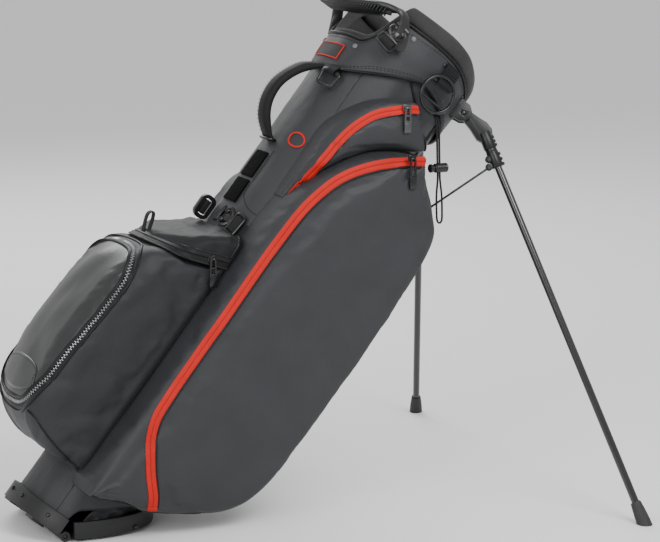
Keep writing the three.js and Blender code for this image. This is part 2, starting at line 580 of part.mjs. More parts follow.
// ---- hanging drawstring with its cord lock, drawn about the point where the cord passes the lock ----
const CORD_RADIUS = 1.5;
const CORD_SPREAD = 4.3;
const CORD_LEAN = THREE.MathUtils.degToRad(-3);
const cordTop = [[1.8, 22, 78], [1.8, 12, 77], [1.8, 4, 71], [1.8, 0, 60], [1.8, 0, 40], [1.8, 0, 10], [1.8, 0, -14]];
const cordLow = [[2.6, 0, -24], [CORD_SPREAD, 0, -42], [CORD_SPREAD, 0, -70], [3.2, 0, -77], [0, 0, -80]];
const rightStrand = [...cordTop, ...cordLow];
const leftStrand = rightStrand.slice(0, -1).reverse().map(([x, y, z]) => [-x, y, z]);
const cordCurve = new THREE.CatmullRomCurve3([...rightStrand, ...leftStrand].map((p) => new THREE.Vector3(...p)));
const cordSection = new THREE.Shape(roundOutline(CORD_RADIUS, 8).map(([x, y]) => new THREE.Vector2(x, y)));
const cordLoop = new THREE.ExtrudeGeometry(cordSection, { steps: 60, bevelEnabled: false, extrudePath: cordCurve });

const xBar = (x0, x1, radius, sides = 14) => solid(bar(new THREE.Vector3(x0, 0, 0), new THREE.Vector3(x1, 0, 0), radius,
  sides));
const LOCK_TRAVEL = 3;
const lockBarrel = xBar(-7, 13.5, 6.8).subtract(xBar(-9, 11.5, 4.8)).subtract(solid(box(-4.2, 4.2, -2.2, 2.2, -9, 9)));
const plungerSlot = solid(box(-4.2 - LOCK_TRAVEL, 4.2, -2.2, 2.2, -9, 9));
const lockPlunger = xBar(-12, 7.5, 4.4).subtract(plungerSlot).add(xBar(-15, -10.5, 6.3));

bag.rotation.y = LEAN;
bag.updateMatrixWorld(true);
const lockPlace = new THREE.Vector3(91.8, -116, 740.5).applyMatrix4(bag.matrixWorld);
const hang = new THREE.Group();
hang.position.copy(lockPlace);
hang.rotation.x = CORD_LEAN;
group.add(hang);
addMesh('cord_loop', cordLoop, BLACK, 0.85, 0, hang);
addMesh('cord_lock', geometryOf(lockBarrel), BLACK, 0.4, 0, hang);
addMesh('cord_lock_plunger', geometryOf(lockPlunger), BLACK, 0.4, 0, hang);

// The origin is the middle of the bag's own footprint box, on the ground.
const bounds = new THREE.Box3().setFromObject(bag, true);
const middle = bounds.getCenter(new THREE.Vector3());
const origin = new THREE.Vector3(middle.x, middle.y, bounds.min.z);
bag.position.sub(origin);
hang.position.sub(origin);

export default group;
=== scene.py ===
import json
import math

import bmesh
import bpy
import numpy as np
from mathutils import Matrix, Vector, noise
from mathutils.bvhtree import BVHTree

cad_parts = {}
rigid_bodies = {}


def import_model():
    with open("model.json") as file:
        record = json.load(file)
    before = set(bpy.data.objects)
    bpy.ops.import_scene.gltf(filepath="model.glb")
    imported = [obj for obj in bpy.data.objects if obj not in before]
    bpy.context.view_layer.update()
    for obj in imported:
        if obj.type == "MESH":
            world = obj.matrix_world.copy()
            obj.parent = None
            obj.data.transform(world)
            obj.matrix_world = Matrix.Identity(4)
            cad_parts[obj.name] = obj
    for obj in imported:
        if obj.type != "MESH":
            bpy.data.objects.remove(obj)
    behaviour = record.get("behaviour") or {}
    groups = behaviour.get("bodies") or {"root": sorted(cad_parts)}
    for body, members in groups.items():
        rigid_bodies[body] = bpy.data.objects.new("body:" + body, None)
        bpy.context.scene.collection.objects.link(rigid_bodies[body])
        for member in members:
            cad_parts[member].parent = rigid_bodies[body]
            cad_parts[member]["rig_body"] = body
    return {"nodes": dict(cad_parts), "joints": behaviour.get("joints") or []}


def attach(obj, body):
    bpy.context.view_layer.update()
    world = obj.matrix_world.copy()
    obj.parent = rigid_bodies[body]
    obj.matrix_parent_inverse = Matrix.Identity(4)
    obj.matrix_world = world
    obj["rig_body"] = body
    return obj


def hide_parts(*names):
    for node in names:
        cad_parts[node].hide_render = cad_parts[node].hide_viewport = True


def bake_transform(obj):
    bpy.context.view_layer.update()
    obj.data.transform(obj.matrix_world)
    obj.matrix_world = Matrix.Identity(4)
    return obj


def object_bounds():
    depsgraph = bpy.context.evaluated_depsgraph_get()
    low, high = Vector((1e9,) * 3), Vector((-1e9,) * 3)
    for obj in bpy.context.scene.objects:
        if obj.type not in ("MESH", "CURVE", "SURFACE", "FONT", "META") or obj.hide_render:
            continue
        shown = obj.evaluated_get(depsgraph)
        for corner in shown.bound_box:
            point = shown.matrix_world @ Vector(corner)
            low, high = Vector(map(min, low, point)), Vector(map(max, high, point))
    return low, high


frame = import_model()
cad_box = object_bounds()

# Shapes are in millimetres in the bag's own upright frame: n across toward the legs, y sideways,
# s up the tube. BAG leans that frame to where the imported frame's base hinge says.
MM = 0.001
JOINTS = {joint["name"]: joint for joint in frame["joints"]}
LEAN = math.radians(JOINTS["base_flex"]["range_deg"][1])
HINGE = Vector((-47.8, 0, 8))
BAG = (
    Matrix.Translation(JOINTS["base_flex"]["pos_m"])
    @ Matrix.Rotation(LEAN, 4, "Y")
    @ Matrix.Translation(-HINGE * MM)
)
POWER = 2.4
TUBE = (97.0, 95.0)
FRAME = (100.0, 98.0)
RIM_HIGH, RIM_FRONT_DROP, RIM_REAR_DROP = 906, 42, 70
PAD_HEIGHT = 27
LEG_SPLAY = math.radians(30.7)
LEG_OPEN = math.radians(56.1)
LEG_PIN = Vector((93, -80, 832))
POCKET_Y, VALUABLES_Y, FAR_POCKET_Y = 140, 116, 132
BALL_HALF = 92
SWELL_FRAMES = 18
CLOTH_THICKNESS = 1.2

scene = bpy.context.scene


# ---- camera ----
CAMERA_TARGET = Vector((0.0806, 0, 0.3307))
CAMERA_AZIMUTH, CAMERA_HEIGHT = math.radians(-25.0), math.radians(11.0)
CAMERA_DISTANCE, CAMERA_LENS = 3.62, 134.07


def add_camera():
    data = bpy.data.cameras.new("camera")
    data.lens = CAMERA_LENS
    data.sensor_width = 36
    camera = bpy.data.objects.new("camera", data)
    back = Vector((
        math.sin(CAMERA_AZIMUTH) * math.cos(CAMERA_HEIGHT),
        -math.cos(CAMERA_AZIMUTH) * math.cos(CAMERA_HEIGHT),
        math.sin(CAMERA_HEIGHT),
    ))
    camera.location = CAMERA_TARGET + back * CAMERA_DISTANCE
    camera.rotation_euler = (-back).to_track_quat("-Z", "Y").to_euler()
    scene.collection.objects.link(camera)
    scene.camera = camera


add_camera()


# ---- materials ----
FLECK = 0.0015
BROAD_SHARE = 0.55
RAMP = (0.32, 0.68)
ROUGHNESS_DRIFT = 0.06
BUMP_STRENGTH = 0.7


def add_node(tree, kind, inputs=(), **settings):
    made = tree.nodes.new(kind)
    for key, value in settings.items():
        setattr(made, key, value)
    for socket, value in inputs:
        if isinstance(value, bpy.types.NodeSocket):
            tree.links.new(value, made.inputs[socket])
        else:
            made.inputs[socket].default_value = value
    return made


def pattern_value(tree, coordinates, kind, size, axis):
    """A texture's value, with features of about that size in metres; only a wave has an axis."""
    if kind == "wave":
        scale = 2 * math.pi / (20 * size)
        inputs = [("Vector", coordinates), ("Scale", scale), ("Distortion", 0.6)]
        return add_node(tree, "ShaderNodeTexWave", inputs, bands_direction=axis).outputs[1]
    inputs = [("Vector", coordinates), ("Scale", 1 / size)]
    if kind == "cells":
        return add_node(tree, "ShaderNodeTexVoronoi", inputs).outputs["Distance"]
    return add_node(tree, "ShaderNodeTexNoise", [*inputs, ("Detail", 4.0)]).outputs["Fac"]


def finish(name, slot, dark, light, roughness, patterns, cloud=0.05, depth=0.0002, **sockets):
    """A material whose colour drifts between dark and light, with relief from a list of
    (kind, feature size in metres, axis, weight)."""
    made = bpy.data.materials.new(name)
    made.use_nodes = True
    tree = made.node_tree
    shader = tree.nodes["Principled BSDF"]
    for socket, value in sockets.items():
        shader.inputs[socket.replace("_", " ")].default_value = value
    upright = add_node(
        tree, "ShaderNodeMapping", [("Vector", add_node(tree, "ShaderNodeTexCoord").outputs["Object"])]
    )
    upright.inputs["Rotation"].default_value = (0, -LEAN, 0)
    coordinates = upright.outputs[0]
    broad = pattern_value(tree, coordinates, "noise", cloud, None)
    fine = pattern_value(tree, coordinates, "noise", FLECK, None)
    drift = add_node(
        tree, "ShaderNodeMath", [(0, broad), (1, BROAD_SHARE)], operation="MULTIPLY"
    ).outputs[0]
    mixed = add_node(
        tree, "ShaderNodeMath", [(0, fine), (1, 1 - BROAD_SHARE), (2, drift)], operation="MULTIPLY_ADD"
    ).outputs[0]
    ramp = add_node(tree, "ShaderNodeValToRGB", [("Fac", mixed)])
    for stop, position, colour in zip(ramp.color_ramp.elements, RAMP, (dark, light)):
        stop.position = position
        stop.color = (*colour, 1)
    tree.links.new(ramp.outputs["Color"], shader.inputs["Base Color"])
    spread = add_node(tree, "ShaderNodeMapRange", [
        ("Value", broad), ("To Min", roughness - ROUGHNESS_DRIFT), ("To Max", roughness + ROUGHNESS_DRIFT),
    ])
    tree.links.new(spread.outputs[0], shader.inputs["Roughness"])
    height = None
    for kind, size, axis, weight in patterns:
        value = pattern_value(tree, coordinates, kind, size, axis)
        added = add_node(tree, "ShaderNodeMath", [(0, value), (1, weight)], operation="MULTIPLY_ADD")
        if height is not None:
            tree.links.new(height, added.inputs[2])
        height = added.outputs[0]
    inputs = [("Height", height), ("Strength", BUMP_STRENGTH), ("Distance", depth)]
    bump = add_node(tree, "ShaderNodeBump", inputs)
    tree.links.new(bump.outputs["Normal"], shader.inputs["Normal"])
    return made, slot


WEAVE = [
    ("wave", 0.0016, "X", 0.35), ("wave", 0.0016, "Y", 0.35), ("wave", 0.0016, "Z", 0.35),
    ("noise", 0.0012, None, 0.3), ("noise", 0.012, None, 1.2), ("noise", 0.045, None, 9.0),
]
RIBS = [
    ("wave", 0.0022, "X", 0.5), ("wave", 0.0022, "Z", 0.5), ("wave", 0.0016, "Y", 0.5),
    ("noise", 0.001, None, 0.4),
]
CAST = [("noise", 0.0008, None, 0.5), ("noise", 0.006, None, 0.5)]

CHARCOAL = finish(
    "charcoal_fabric", "charcoal_fabric", (0.014, 0.0148, 0.0178), (0.024, 0.025, 0.029), 0.56, WEAVE,
    Sheen_Weight=0.06, Sheen_Roughness=0.4,
)
# A darker copy of the charcoal fabric for the ball pocket and the base gusset. It is painted shade on the low
# parts of the bag, which are made of the same fabric.
SHADED_CHARCOAL = finish(
    "charcoal_fabric_painted_shade", "charcoal_fabric", (0.011, 0.0115, 0.014), (0.018, 0.0185, 0.022), 0.56, WEAVE,
    Sheen_Weight=0.05, Sheen_Roughness=0.4, Specular_IOR_Level=0.4,
)
HOOD_CLOTH = finish(
    "hood_fabric", "charcoal_fabric", (0.006, 0.0063, 0.0078), (0.010, 0.0105, 0.0125), 0.6, WEAVE,
    Sheen_Weight=0.03, Specular_IOR_Level=0.25,
)
BLACK_CLOTH = finish(
    "black_webbing", "black_webbing", (0.005, 0.005, 0.006), (0.011, 0.011, 0.012), 0.7, RIBS,
    Sheen_Weight=0.02, Specular_IOR_Level=0.25,
)
TRIM = finish(
    "black_piping", "black_webbing", (0.003, 0.003, 0.004), (0.006, 0.006, 0.007), 0.42, RIBS,
    Specular_IOR_Level=0.3,
)
DIVIDER = finish(
    "divider_cloth", "divider_fabric", (0.005, 0.005, 0.006), (0.012, 0.012, 0.013), 0.85,
    [("noise", 0.0009, None, 0.8), ("noise", 0.02, None, 0.8)], Sheen_Weight=0.12,
)
MESH_PAD = finish(
    "spacer_mesh", "padded_mesh", (0.010, 0.010, 0.011), (0.030, 0.030, 0.032), 0.8,
    [("cells", 0.0028, None, 1.0), ("noise", 0.001, None, 0.2)], depth=0.0007, Sheen_Weight=0.08,
)
LEATHER = finish(
    "leather_panel", "leather_panel", (0.010, 0.011, 0.011), (0.020, 0.021, 0.022), 0.31,
    [("cells", 0.0022, None, 0.4), ("noise", 0.004, None, 0.5), ("noise", 0.03, None, 1.0)], cloud=0.07,
    depth=0.0004, Coat_Weight=0.15, Coat_Roughness=0.3,
)
RED = finish(
    "red_zip", "red_zip", (0.42, 0.007, 0.004), (0.55, 0.014, 0.008), 0.6,
    [("noise", 0.001, None, 0.6), ("wave", 0.0014, "Z", 0.4)], Specular_IOR_Level=0.25,
)
ZIP_BLACK = finish(
    "black_zip_tape", "black_zip", (0.004, 0.004, 0.005), (0.008, 0.008, 0.009), 0.5, RIBS,
    Specular_IOR_Level=0.25,
)
NAP = finish(
    "hook_and_loop", "black_webbing", (0.001, 0.001, 0.0012), (0.003, 0.003, 0.0034), 0.95,
    [("noise", 0.0009, None, 1.2)], Specular_IOR_Level=0.1,
)
TEETH = finish("zip_teeth", "black_zip", (0.22, 0.22, 0.23), (0.42, 0.42, 0.44), 0.3, CAST, Metallic=0.9)
PLASTIC = finish(
    "moulded_plastic", "moulded_plastic", (0.007, 0.007, 0.008), (0.013, 0.013, 0.014), 0.38, CAST,
)
BASE_PLASTIC = finish(
    "base_plastic", "moulded_plastic", (0.004, 0.004, 0.005), (0.008, 0.008, 0.009), 0.5, CAST,
)
ARM_PLASTIC = finish(
    "arm_plastic", "moulded_plastic", (0.005, 0.0055, 0.006), (0.010, 0.0105, 0.011), 0.34, CAST,
    Specular_IOR_Level=0.35,
)
PLASTIC_BLACK = finish(
    "black_plastic", "moulded_plastic", (0.004, 0.004, 0.005), (0.008, 0.008, 0.009), 0.28, CAST,
)
PLASTIC_GREY = finish(
    "grey_plastic", "moulded_plastic", (0.006, 0.0063, 0.007), (0.011, 0.0115, 0.0125), 0.36, CAST,
    Specular_IOR_Level=0.35,
)
GLOSS_TUBE = finish(
    "gloss_tube", "leg_tube", (0.003, 0.003, 0.003), (0.006, 0.006, 0.006), 0.2, CAST, depth=0.00003,
    Metallic=0.0, Coat_Weight=0.6, Coat_Roughness=0.08,
)
RUBBER = finish("rubber", "rubber_foot", (0.014, 0.014, 0.015), (0.024, 0.024, 0.026), 0.6, CAST)
RIVET = finish("rivet_grey", "steel", (0.11, 0.112, 0.116), (0.16, 0.163, 0.168), 0.45, CAST)
STEEL = finish(
    "dark_steel", "steel", (0.035, 0.036, 0.038), (0.06, 0.062, 0.065), 0.3, CAST, Metallic=0.9,
)
ROD = finish("stay_rod", "stay_fibreglass", (0.012, 0.012, 0.013), (0.020, 0.020, 0.021), 0.5, CAST)
PULL_STEEL = finish(
    "pull_grey", "zip_pull", (0.06, 0.062, 0.066), (0.11, 0.113, 0.118), 0.32, CAST, Metallic=0.7,
)
PULL_BLACK = finish("pull_black", "zip_pull", (0.003, 0.003, 0.004), (0.007, 0.007, 0.008), 0.25, CAST)


# ---- mesh helpers ----
def placed(points, place=BAG):
    """Millimetre points as points of the shared frame, in metres."""
    matrix = np.array(place)
    return (np.asarray(points, float) * MM) @ matrix[:3, :3].T + matrix[:3, 3]


def piece(
    name, points, faces, look, body="bag", place=BAG, stands_for=(), smooth=40, recalculate=False
):
    """A mesh piece from millimetre points, riding on a body, with smooth shading below an angle."""
    mesh = bpy.data.meshes.new(name)
    mesh.from_pydata(placed(points, place).tolist(), [], faces)
    material, slot = look
    mesh.materials.append(material)
    mesh.polygons.foreach_set("use_smooth", [True] * len(mesh.polygons))
    mesh.set_sharp_from_angle(angle=math.radians(smooth))
    made = bpy.data.objects.new(name, mesh)
    scene.collection.objects.link(made)
    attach(made, body)
    if stands_for:
        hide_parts(*stands_for)
    if recalculate:
        even_normals(made)
    return made


def even_normals(made):
    shape = bmesh.new()
    shape.from_mesh(made.data)
    bmesh.ops.recalc_face_normals(shape, faces=shape.faces[:])
    shape.to_mesh(made.data)
    shape.free()


def grid_faces(rows, columns, wrap=False):
    faces = []
    for i in range(rows - 1):
        for j in range(columns if wrap else columns - 1):
            k = (j + 1) % columns
            faces.append((i * columns + j, i * columns + k, (i + 1) * columns + k, (i + 1) * columns + j))
    return faces


def closing_faces(rows, columns):
    """The faces between the last and the first row of a wrapped grid."""
    last = (rows - 1) * columns
    return [(last + j, last + (j + 1) % columns, (j + 1) % columns, j) for j in range(columns)]


def facing_out(points, faces, centre):
    """The faces turned so that most of them look away from centre, a function from points to points."""
    corners = np.asarray(points)[np.array([face[:4] for face in faces])]
    normals = np.cross(corners[:, 2] - corners[:, 0], corners[:, 3] - corners[:, 1])
    middle = corners.mean(1)
    if (normals * (middle - centre(middle))).sum() < 0:
        return [tuple(reversed(face)) for face in faces]
    return faces


def from_axis(points):
    """The nearest points on the tube's axis."""
    return points * np.array([0, 0, 1])


def from_point(n, y, s):
    """The same centre for every point."""
    return lambda _: np.array([n, y, s], float)


def thicken(made, thickness):
    """Gives an open sheet a real thickness, inward."""
    solidify = made.modifiers.new("thickness", "SOLIDIFY")
    solidify.thickness = thickness * MM
    solidify.offset = -1
    return made


def sheet(name, points, look, centre, thickness, wrap=False, **options):
    """A cloth with a real thickness over a grid of points; its points and faces come back."""
    flat = points.reshape(-1, 3)
    faces = facing_out(flat, grid_faces(*points.shape[:2], wrap=wrap), centre)
    thicken(piece(name, flat, faces, look, **options), thickness)
    return flat, faces


def smooth_line(points, count):
    """Evenly spaced points on a smooth curve through the given ones."""
    given = np.asarray(points, float)
    ends = np.vstack([2 * given[0] - given[1], given, 2 * given[-1] - given[-2]])
    dense = []
    for i in range(1, len(ends) - 2):
        a, b, c, d = ends[i - 1:i + 3]
        for t in np.linspace(0, 1, 12, endpoint=False):
            dense.append(0.5 * (2 * b + (c - a) * t + (2 * a - 5 * b + 4 * c - d) * t**2
                                + (3 * b - a - 3 * c + d) * t**3))
    dense = np.array([*dense, given[-1]])
    return resample(dense, count)


def distances(points):
    """How far along a line each of its points is."""
    steps = np.linalg.norm(np.diff(points, axis=0), axis=1)
    return np.concatenate([[0], np.cumsum(steps)])


def at_distances(wanted, along, rows):
    """Rows interpolated at the wanted distances."""
    return np.stack([np.interp(wanted, along, column) for column in rows.T], -1)


def resample(points, count):
    points = np.asarray(points, float)
    along = distances(points)
    return at_distances(np.linspace(0, along[-1], count), along, points)


def unit(vectors):
    return vectors / np.maximum(np.linalg.norm(vectors, axis=-1, keepdims=True), 1e-9)


def full_turn(count):
    return np.linspace(0, 2 * math.pi, count, endpoint=False)


def signed_power(value, power):
    return np.sign(value) * np.abs(value) ** power


def band(half_width, half_height):
    """The section of a strap."""
    return [(-half_width, -half_height), (-half_width, half_height), (half_width, half_height),
            (half_width, -half_height)]


def circle(radius, sides=8, squeeze=1.0):
    turns = full_turn(sides)
    return np.stack([radius * np.cos(turns), radius * squeeze * np.sin(turns)], 1)


def other_side(points):
    """The points mirrored to the far side, in reverse order."""
    return [(n, -y, s) for n, y, s in reversed(points)]


def near_end(count):
    """For each of so many even stations, its share of the way from the nearer end."""
    share = np.linspace(0, 1, count)
    return np.minimum(share, 1 - share)


def swept(path, profile, up, closed=False, sizes=None):
    """A profile (across, up) carried along a path, with up kept near the given vectors."""
    path = np.asarray(path, float)
    if closed:
        along = unit(np.roll(path, -1, 0) - np.roll(path, 1, 0))
    else:
        along = unit(np.gradient(path, axis=0))
    up = np.broadcast_to(np.asarray(up, float), path.shape)
    up = unit(up - (up * along).sum(1, keepdims=True) * along)
    across = np.cross(along, up)
    profile = np.asarray(profile, float)
    scale = np.ones((len(path), 2)) if sizes is None else np.asarray(sizes, float)
    points = (
        path[:, None]
        + across[:, None] * (profile[None, :, :1] * scale[:, None, :1])
        + up[:, None] * (profile[None, :, 1:] * scale[:, None, 1:])
    ).reshape(-1, 3)
    rows, columns = len(path), len(profile)
    faces = grid_faces(rows, columns, wrap=True)
    if closed:
        faces += closing_faces(rows, columns)
    else:
        faces.append(tuple(range(columns - 1, -1, -1)))
        faces.append(tuple((rows - 1) * columns + j for j in range(columns)))
    return points, faces


def pipe(name, path, up, radius, look=TRIM, sides=8, squeeze=1.0, closed=False):
    """A round or flattened cord along a path."""
    return piece(name, *swept(path, circle(radius, sides, squeeze), up, closed=closed), look)


def free_for_blend(made):
    """Takes a piece off its body, so that it can bend between two."""
    place = made.matrix_world.copy()
    made.parent = None
    made.matrix_world = place
    if "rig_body" in made:
        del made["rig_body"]


class Parts:
    """Several small shapes gathered into one mesh."""

    def __init__(self):
        self.points = []
        self.faces = []

    def add(self, points, faces, place=None):
        if place is not None:
            points = [place @ Vector(point) for point in points]
        start = len(self.points)
        self.points += [tuple(point) for point in points]
        self.faces += [tuple(start + i for i in face) for face in faces]
        return self

    def piece(self, name, look, **options):
        return piece(name, self.points, self.faces, look, **options)


def rounded_block(size, radius, segments=2):
    """A block with rounded edges about the origin."""
    made = bmesh.new()
    bmesh.ops.create_cube(made, size=1)
    for corner in made.verts:
        corner.co *= Vector(size)
    bmesh.ops.bevel(made, geom=made.edges[:], offset=radius, segments=segments, profile=0.5, affect="EDGES")
    made.verts.ensure_lookup_table()
    points = [corner.co.copy() for corner in made.verts]
    faces = [tuple(corner.index for corner in face.verts) for face in made.faces]
    made.free()
    return points, faces


def turned(profile, sides):
    """A solid of revolution about +Z from (radius, height) pairs that start and end on the axis."""
    rings = np.array(profile[1:-1], float)
    turns = full_turn(sides)
    points = [(0, 0, profile[0][1])]
    for radius, height in rings:
        points += [(radius * math.cos(a), radius * math.sin(a), height) for a in turns]
    points.append((0, 0, profile[-1][1]))
    faces = []
    for j in range(sides):
        k = (j + 1) % sides
        faces.append((0, 1 + k, 1 + j))
        for i in range(len(rings) - 1):
            a, b = 1 + i * sides, 1 + (i + 1) * sides
            faces.append((a + j, a + k, b + k, b + j))
        top = 1 + (len(rings) - 1) * sides
        faces.append((top + j, top + k, len(points) - 1))
    return points, faces


def frame_at(place, outward, along):
    """A placement whose z looks outward and whose x runs near the along direction."""
    z = Vector(outward).normalized()
    x = Vector(along) - z * Vector(along).dot(z)
    x.normalize()
    y = z.cross(x)
    turn = Matrix((x, y, z)).transposed().to_4x4()
    return Matrix.Translation(Vector(place)) @ turn


def press(tree, starts, directions, lift):
    """Where rays from the start points meet a surface, raised by lift, with the normals there."""
    places = []
    normals = []
    directions = np.broadcast_to(np.asarray(directions, float), np.shape(starts))
    for start, direction in zip(starts, directions):
        place, normal, _, _ = tree.ray_cast(Vector(start), Vector(direction))
        if place is None:
            place, normal, _, _ = tree.find_nearest(Vector(start))
        if normal.dot(Vector(direction)) > 0:
            normal = -normal
        places.append(place + normal * lift)
        normals.append(normal)
    return np.array(places), softened(np.array(normals), 3)


def lie_on(tree, pairs, count, side, lift, reach=320.0):
    """A smooth line through (n, s) pairs laid on a surface from one side, with the normals there."""
    line = smooth_line(pairs, count)
    starts = np.column_stack([line[:, 0], np.full(count, side * reach), line[:, 1]])
    return press(tree, starts, (0, -side, 0), lift)


def pressed_sheet(name, tree, grid, lift, look, thickness, centre=from_axis):
    """A cloth whose grid of points is pressed forward onto a surface; its grid comes back."""
    grid = np.array(grid, float)
    places = press(tree, grid.reshape(-1, 3), (1, 0, 0), lift)[0].reshape(grid.shape)
    sheet(name, places, look, centre, thickness)
    return places


def softened(rows, times):
    """A run of vectors smoothed along its length, with its ends kept."""
    rows = rows.copy()
    for _ in range(times):
        rows[1:-1] = (rows[:-2] + 2 * rows[1:-1] + rows[2:]) / 4
    return rows


def ripple(point, size, depth):
    return noise.noise(Vector(point) / size) * depth


def puffed(made, points, pinned, pressure, cap, slack):
    """Swells a fabric shell by a cloth simulation; pinned holds a weight from 0 to 1 for each point."""
    group = made.vertex_groups.new(name="pinned")
    for i, weight in enumerate(pinned):
        group.add([i], float(weight), "REPLACE")
    cloth = made.modifiers.new("puff", "CLOTH")
    cloth.settings.quality = 6
    cloth.settings.mass = 0.2
    cloth.settings.tension_stiffness = 12
    cloth.settings.compression_stiffness = 12
    cloth.settings.shear_stiffness = 4
    cloth.settings.bending_stiffness = 0.6
    cloth.settings.use_pressure = True
    cloth.settings.uniform_pressure_force = pressure
    cloth.settings.shrink_min = -slack
    cloth.settings.effector_weights.gravity = 0
    cloth.settings.vertex_group_mass = "pinned"
    cloth.collision_settings.use_collision = False
    cloth.point_cache.frame_end = SWELL_FRAMES
    for step in range(1, SWELL_FRAMES + 1):
        scene.frame_set(step)
    evaluated = made.evaluated_get(bpy.context.evaluated_depsgraph_get())
    swollen = np.array([corner.co for corner in evaluated.data.vertices])
    matrix = np.array(BAG)
    swollen = (swollen - matrix[:3, 3]) @ matrix[:3, :3] / MM
    moved = swollen - points
    length = np.linalg.norm(moved, axis=1, keepdims=True)
    result = points + moved * np.minimum(1, cap / np.maximum(length, 1e-6))
    made.modifiers.remove(cloth)
    made.vertex_groups.remove(group)
    made.data.vertices.foreach_set("co", placed(result).ravel())
    made.data.update()
    scene.frame_set(1)
    return result


def each_point(points):
    """The indexes and the coordinates of a grid's points."""
    for i, j in np.ndindex(points.shape[:2]):
        yield i, j, *points[i, j]


def surface_of(points, faces):
    return BVHTree.FromPolygons(np.asarray(points).tolist(), faces)


def stitching(parts, path, normals, length=3.4, gap=2.2, radius=0.45):
    """Short threads laid end to end along a path."""
    along = distances(path)
    start = 0.0
    thread = circle(radius, 5)
    while start + length < along[-1]:
        wanted = np.array([start, start + length / 2, start + length])
        line = at_distances(wanted, along, path)
        normal = at_distances(wanted, along, normals)
        line += normal * np.array([[0.0], [0.35], [0.0]])
        parts.add(*swept(line, thread, normal, sizes=[[0.5, 0.5], [1, 1], [0.5, 0.5]]))
        start += length + gap


# ---- the tube's section and the heights that its pieces share ----
def superellipse(angle, a, b):
    power = 2 / POWER
    return a * signed_power(np.cos(angle), power), b * signed_power(np.sin(angle), power)


def smoothstep(value, low, high):
    t = np.clip((value - low) / (high - low), 0, 1)
    return t * t * (3 - 2 * t)


def hand_gap(angle):
    """1 at the back, where the cuff drops to let a hand in, and 0 elsewhere."""
    n, _ = superellipse(angle, *TUBE)
    return smoothstep(-n, 64, 90)


def rim_top(angle):
    n, _ = superellipse(angle, *TUBE)
    front = RIM_FRONT_DROP * np.maximum(0, n / TUBE[0]) ** 2.2
    return RIM_HIGH - front - RIM_REAR_DROP * hand_gap(angle)


def pad_height(angle):
    return PAD_HEIGHT * (1 - 0.6 * hand_gap(angle))


def collar_bottom(angle):
    across, _ = superellipse(angle, 1, 1)
    return np.where(across < 0, 822 - 56 * np.maximum(0, -across) ** 1.3, 822 - 47 * across**2)


def tube_bottom(angle):
    n, _ = superellipse(angle, *TUBE)
    front = 51.3 + 0.801 * (n + 45)
    share = smoothstep(-n, 50, 62)
    return front * (1 - share) + 10 * share


def side_of_tube(n):
    """How far out, in y, the tube's surface is at that n."""
    share = np.clip(np.abs(n) / TUBE[0], 0, 0.999)
    return TUBE[1] * (1 - share**POWER) ** (1 / POWER)


def even_angles(low, high, count, a, b):
    """Angles that are evenly spaced along the section between two angles."""
    fine = np.linspace(low, high, 400)
    along = distances(np.stack(superellipse(fine, a, b), 1))
    return np.interp(np.linspace(0, along[-1], count), along, fine)


def ring_sheet(angles, rows, reach, low, high):
    """Points round the tube's section, in even rows from low to high."""
    points = []
    for share in np.linspace(0, 1, rows):
        out = reach(share)
        n, y = superellipse(angles, TUBE[0] + out, TUBE[1] + out)
        points.append(np.stack([n, y, low(angles) * (1 - share) + high(angles) * share], 1))
    return np.array(points)


# ---- tube panels ----
PANELS = [
    ("tube_leg_panel", 0), ("tube_far_panel", math.pi / 2), ("tube_rear_panel", math.pi),
    ("tube_near_panel", -math.pi / 2),
]


def tube_panel(name, middle):
    half = math.pi / 4
    in_front = [math.cos(middle + turn) > 0 for turn in (-half, half)]
    gaps = [0.004 if front else -0.012 for front in in_front]
    columns = 44
    angles = even_angles(middle - half + gaps[0], middle + half - gaps[1], columns, *TUBE)
    inset = np.arange(columns) * 3.6
    pinches = [2.4 if front else 0.1 for front in in_front]
    seam = pinches[0] * np.exp(-inset / 3.5) + pinches[1] * np.exp(-inset[::-1] / 3.5)
    points = ring_sheet(angles, 110, lambda _: 0.5 - seam, tube_bottom, lambda a: collar_bottom(a) + 8)
    outward = unit(points * np.array([1, 1, 0]))
    for i, j, n, y, s in each_point(points):
        depth = ripple((n * 0.9, y * 0.9, s * 0.33 + n * 0.4), 26, 2.1) + ripple((n, y, s), 11, 0.35)
        points[i, j] += outward[i, j] * min(depth, 1.3)
    return sheet(f"{name}_cloth", points, CHARCOAL, from_axis, 1.5, stands_for=[name])


def tube_piping():
    """The black seams between the leg panel and the side panels."""
    for name, middle in PANELS:
        angle = np.array(middle + math.pi / 4)
        if math.cos(angle) < 0:
            continue
        n, y = superellipse(angle, TUBE[0] + 0.2, TUBE[1] + 0.2)
        heights = np.linspace(float(tube_bottom(angle)), float(collar_bottom(angle)), 60)
        path = np.stack([np.full(60, n), np.full(60, y), heights], 1)
        pipe(f"{name}_piping", path, (n, y, 0), 1.5)


panel_points = Parts()
for panel_name, panel_middle in PANELS:
    panel_points.add(*tube_panel(panel_name, panel_middle))
tube_piping()
TUBE_SKIN = surface_of(panel_points.points, panel_points.faces)


# ---- cuff ----
def around(count, a, b):
    return even_angles(0, 2 * math.pi, count + 1, a, b)[:-1]


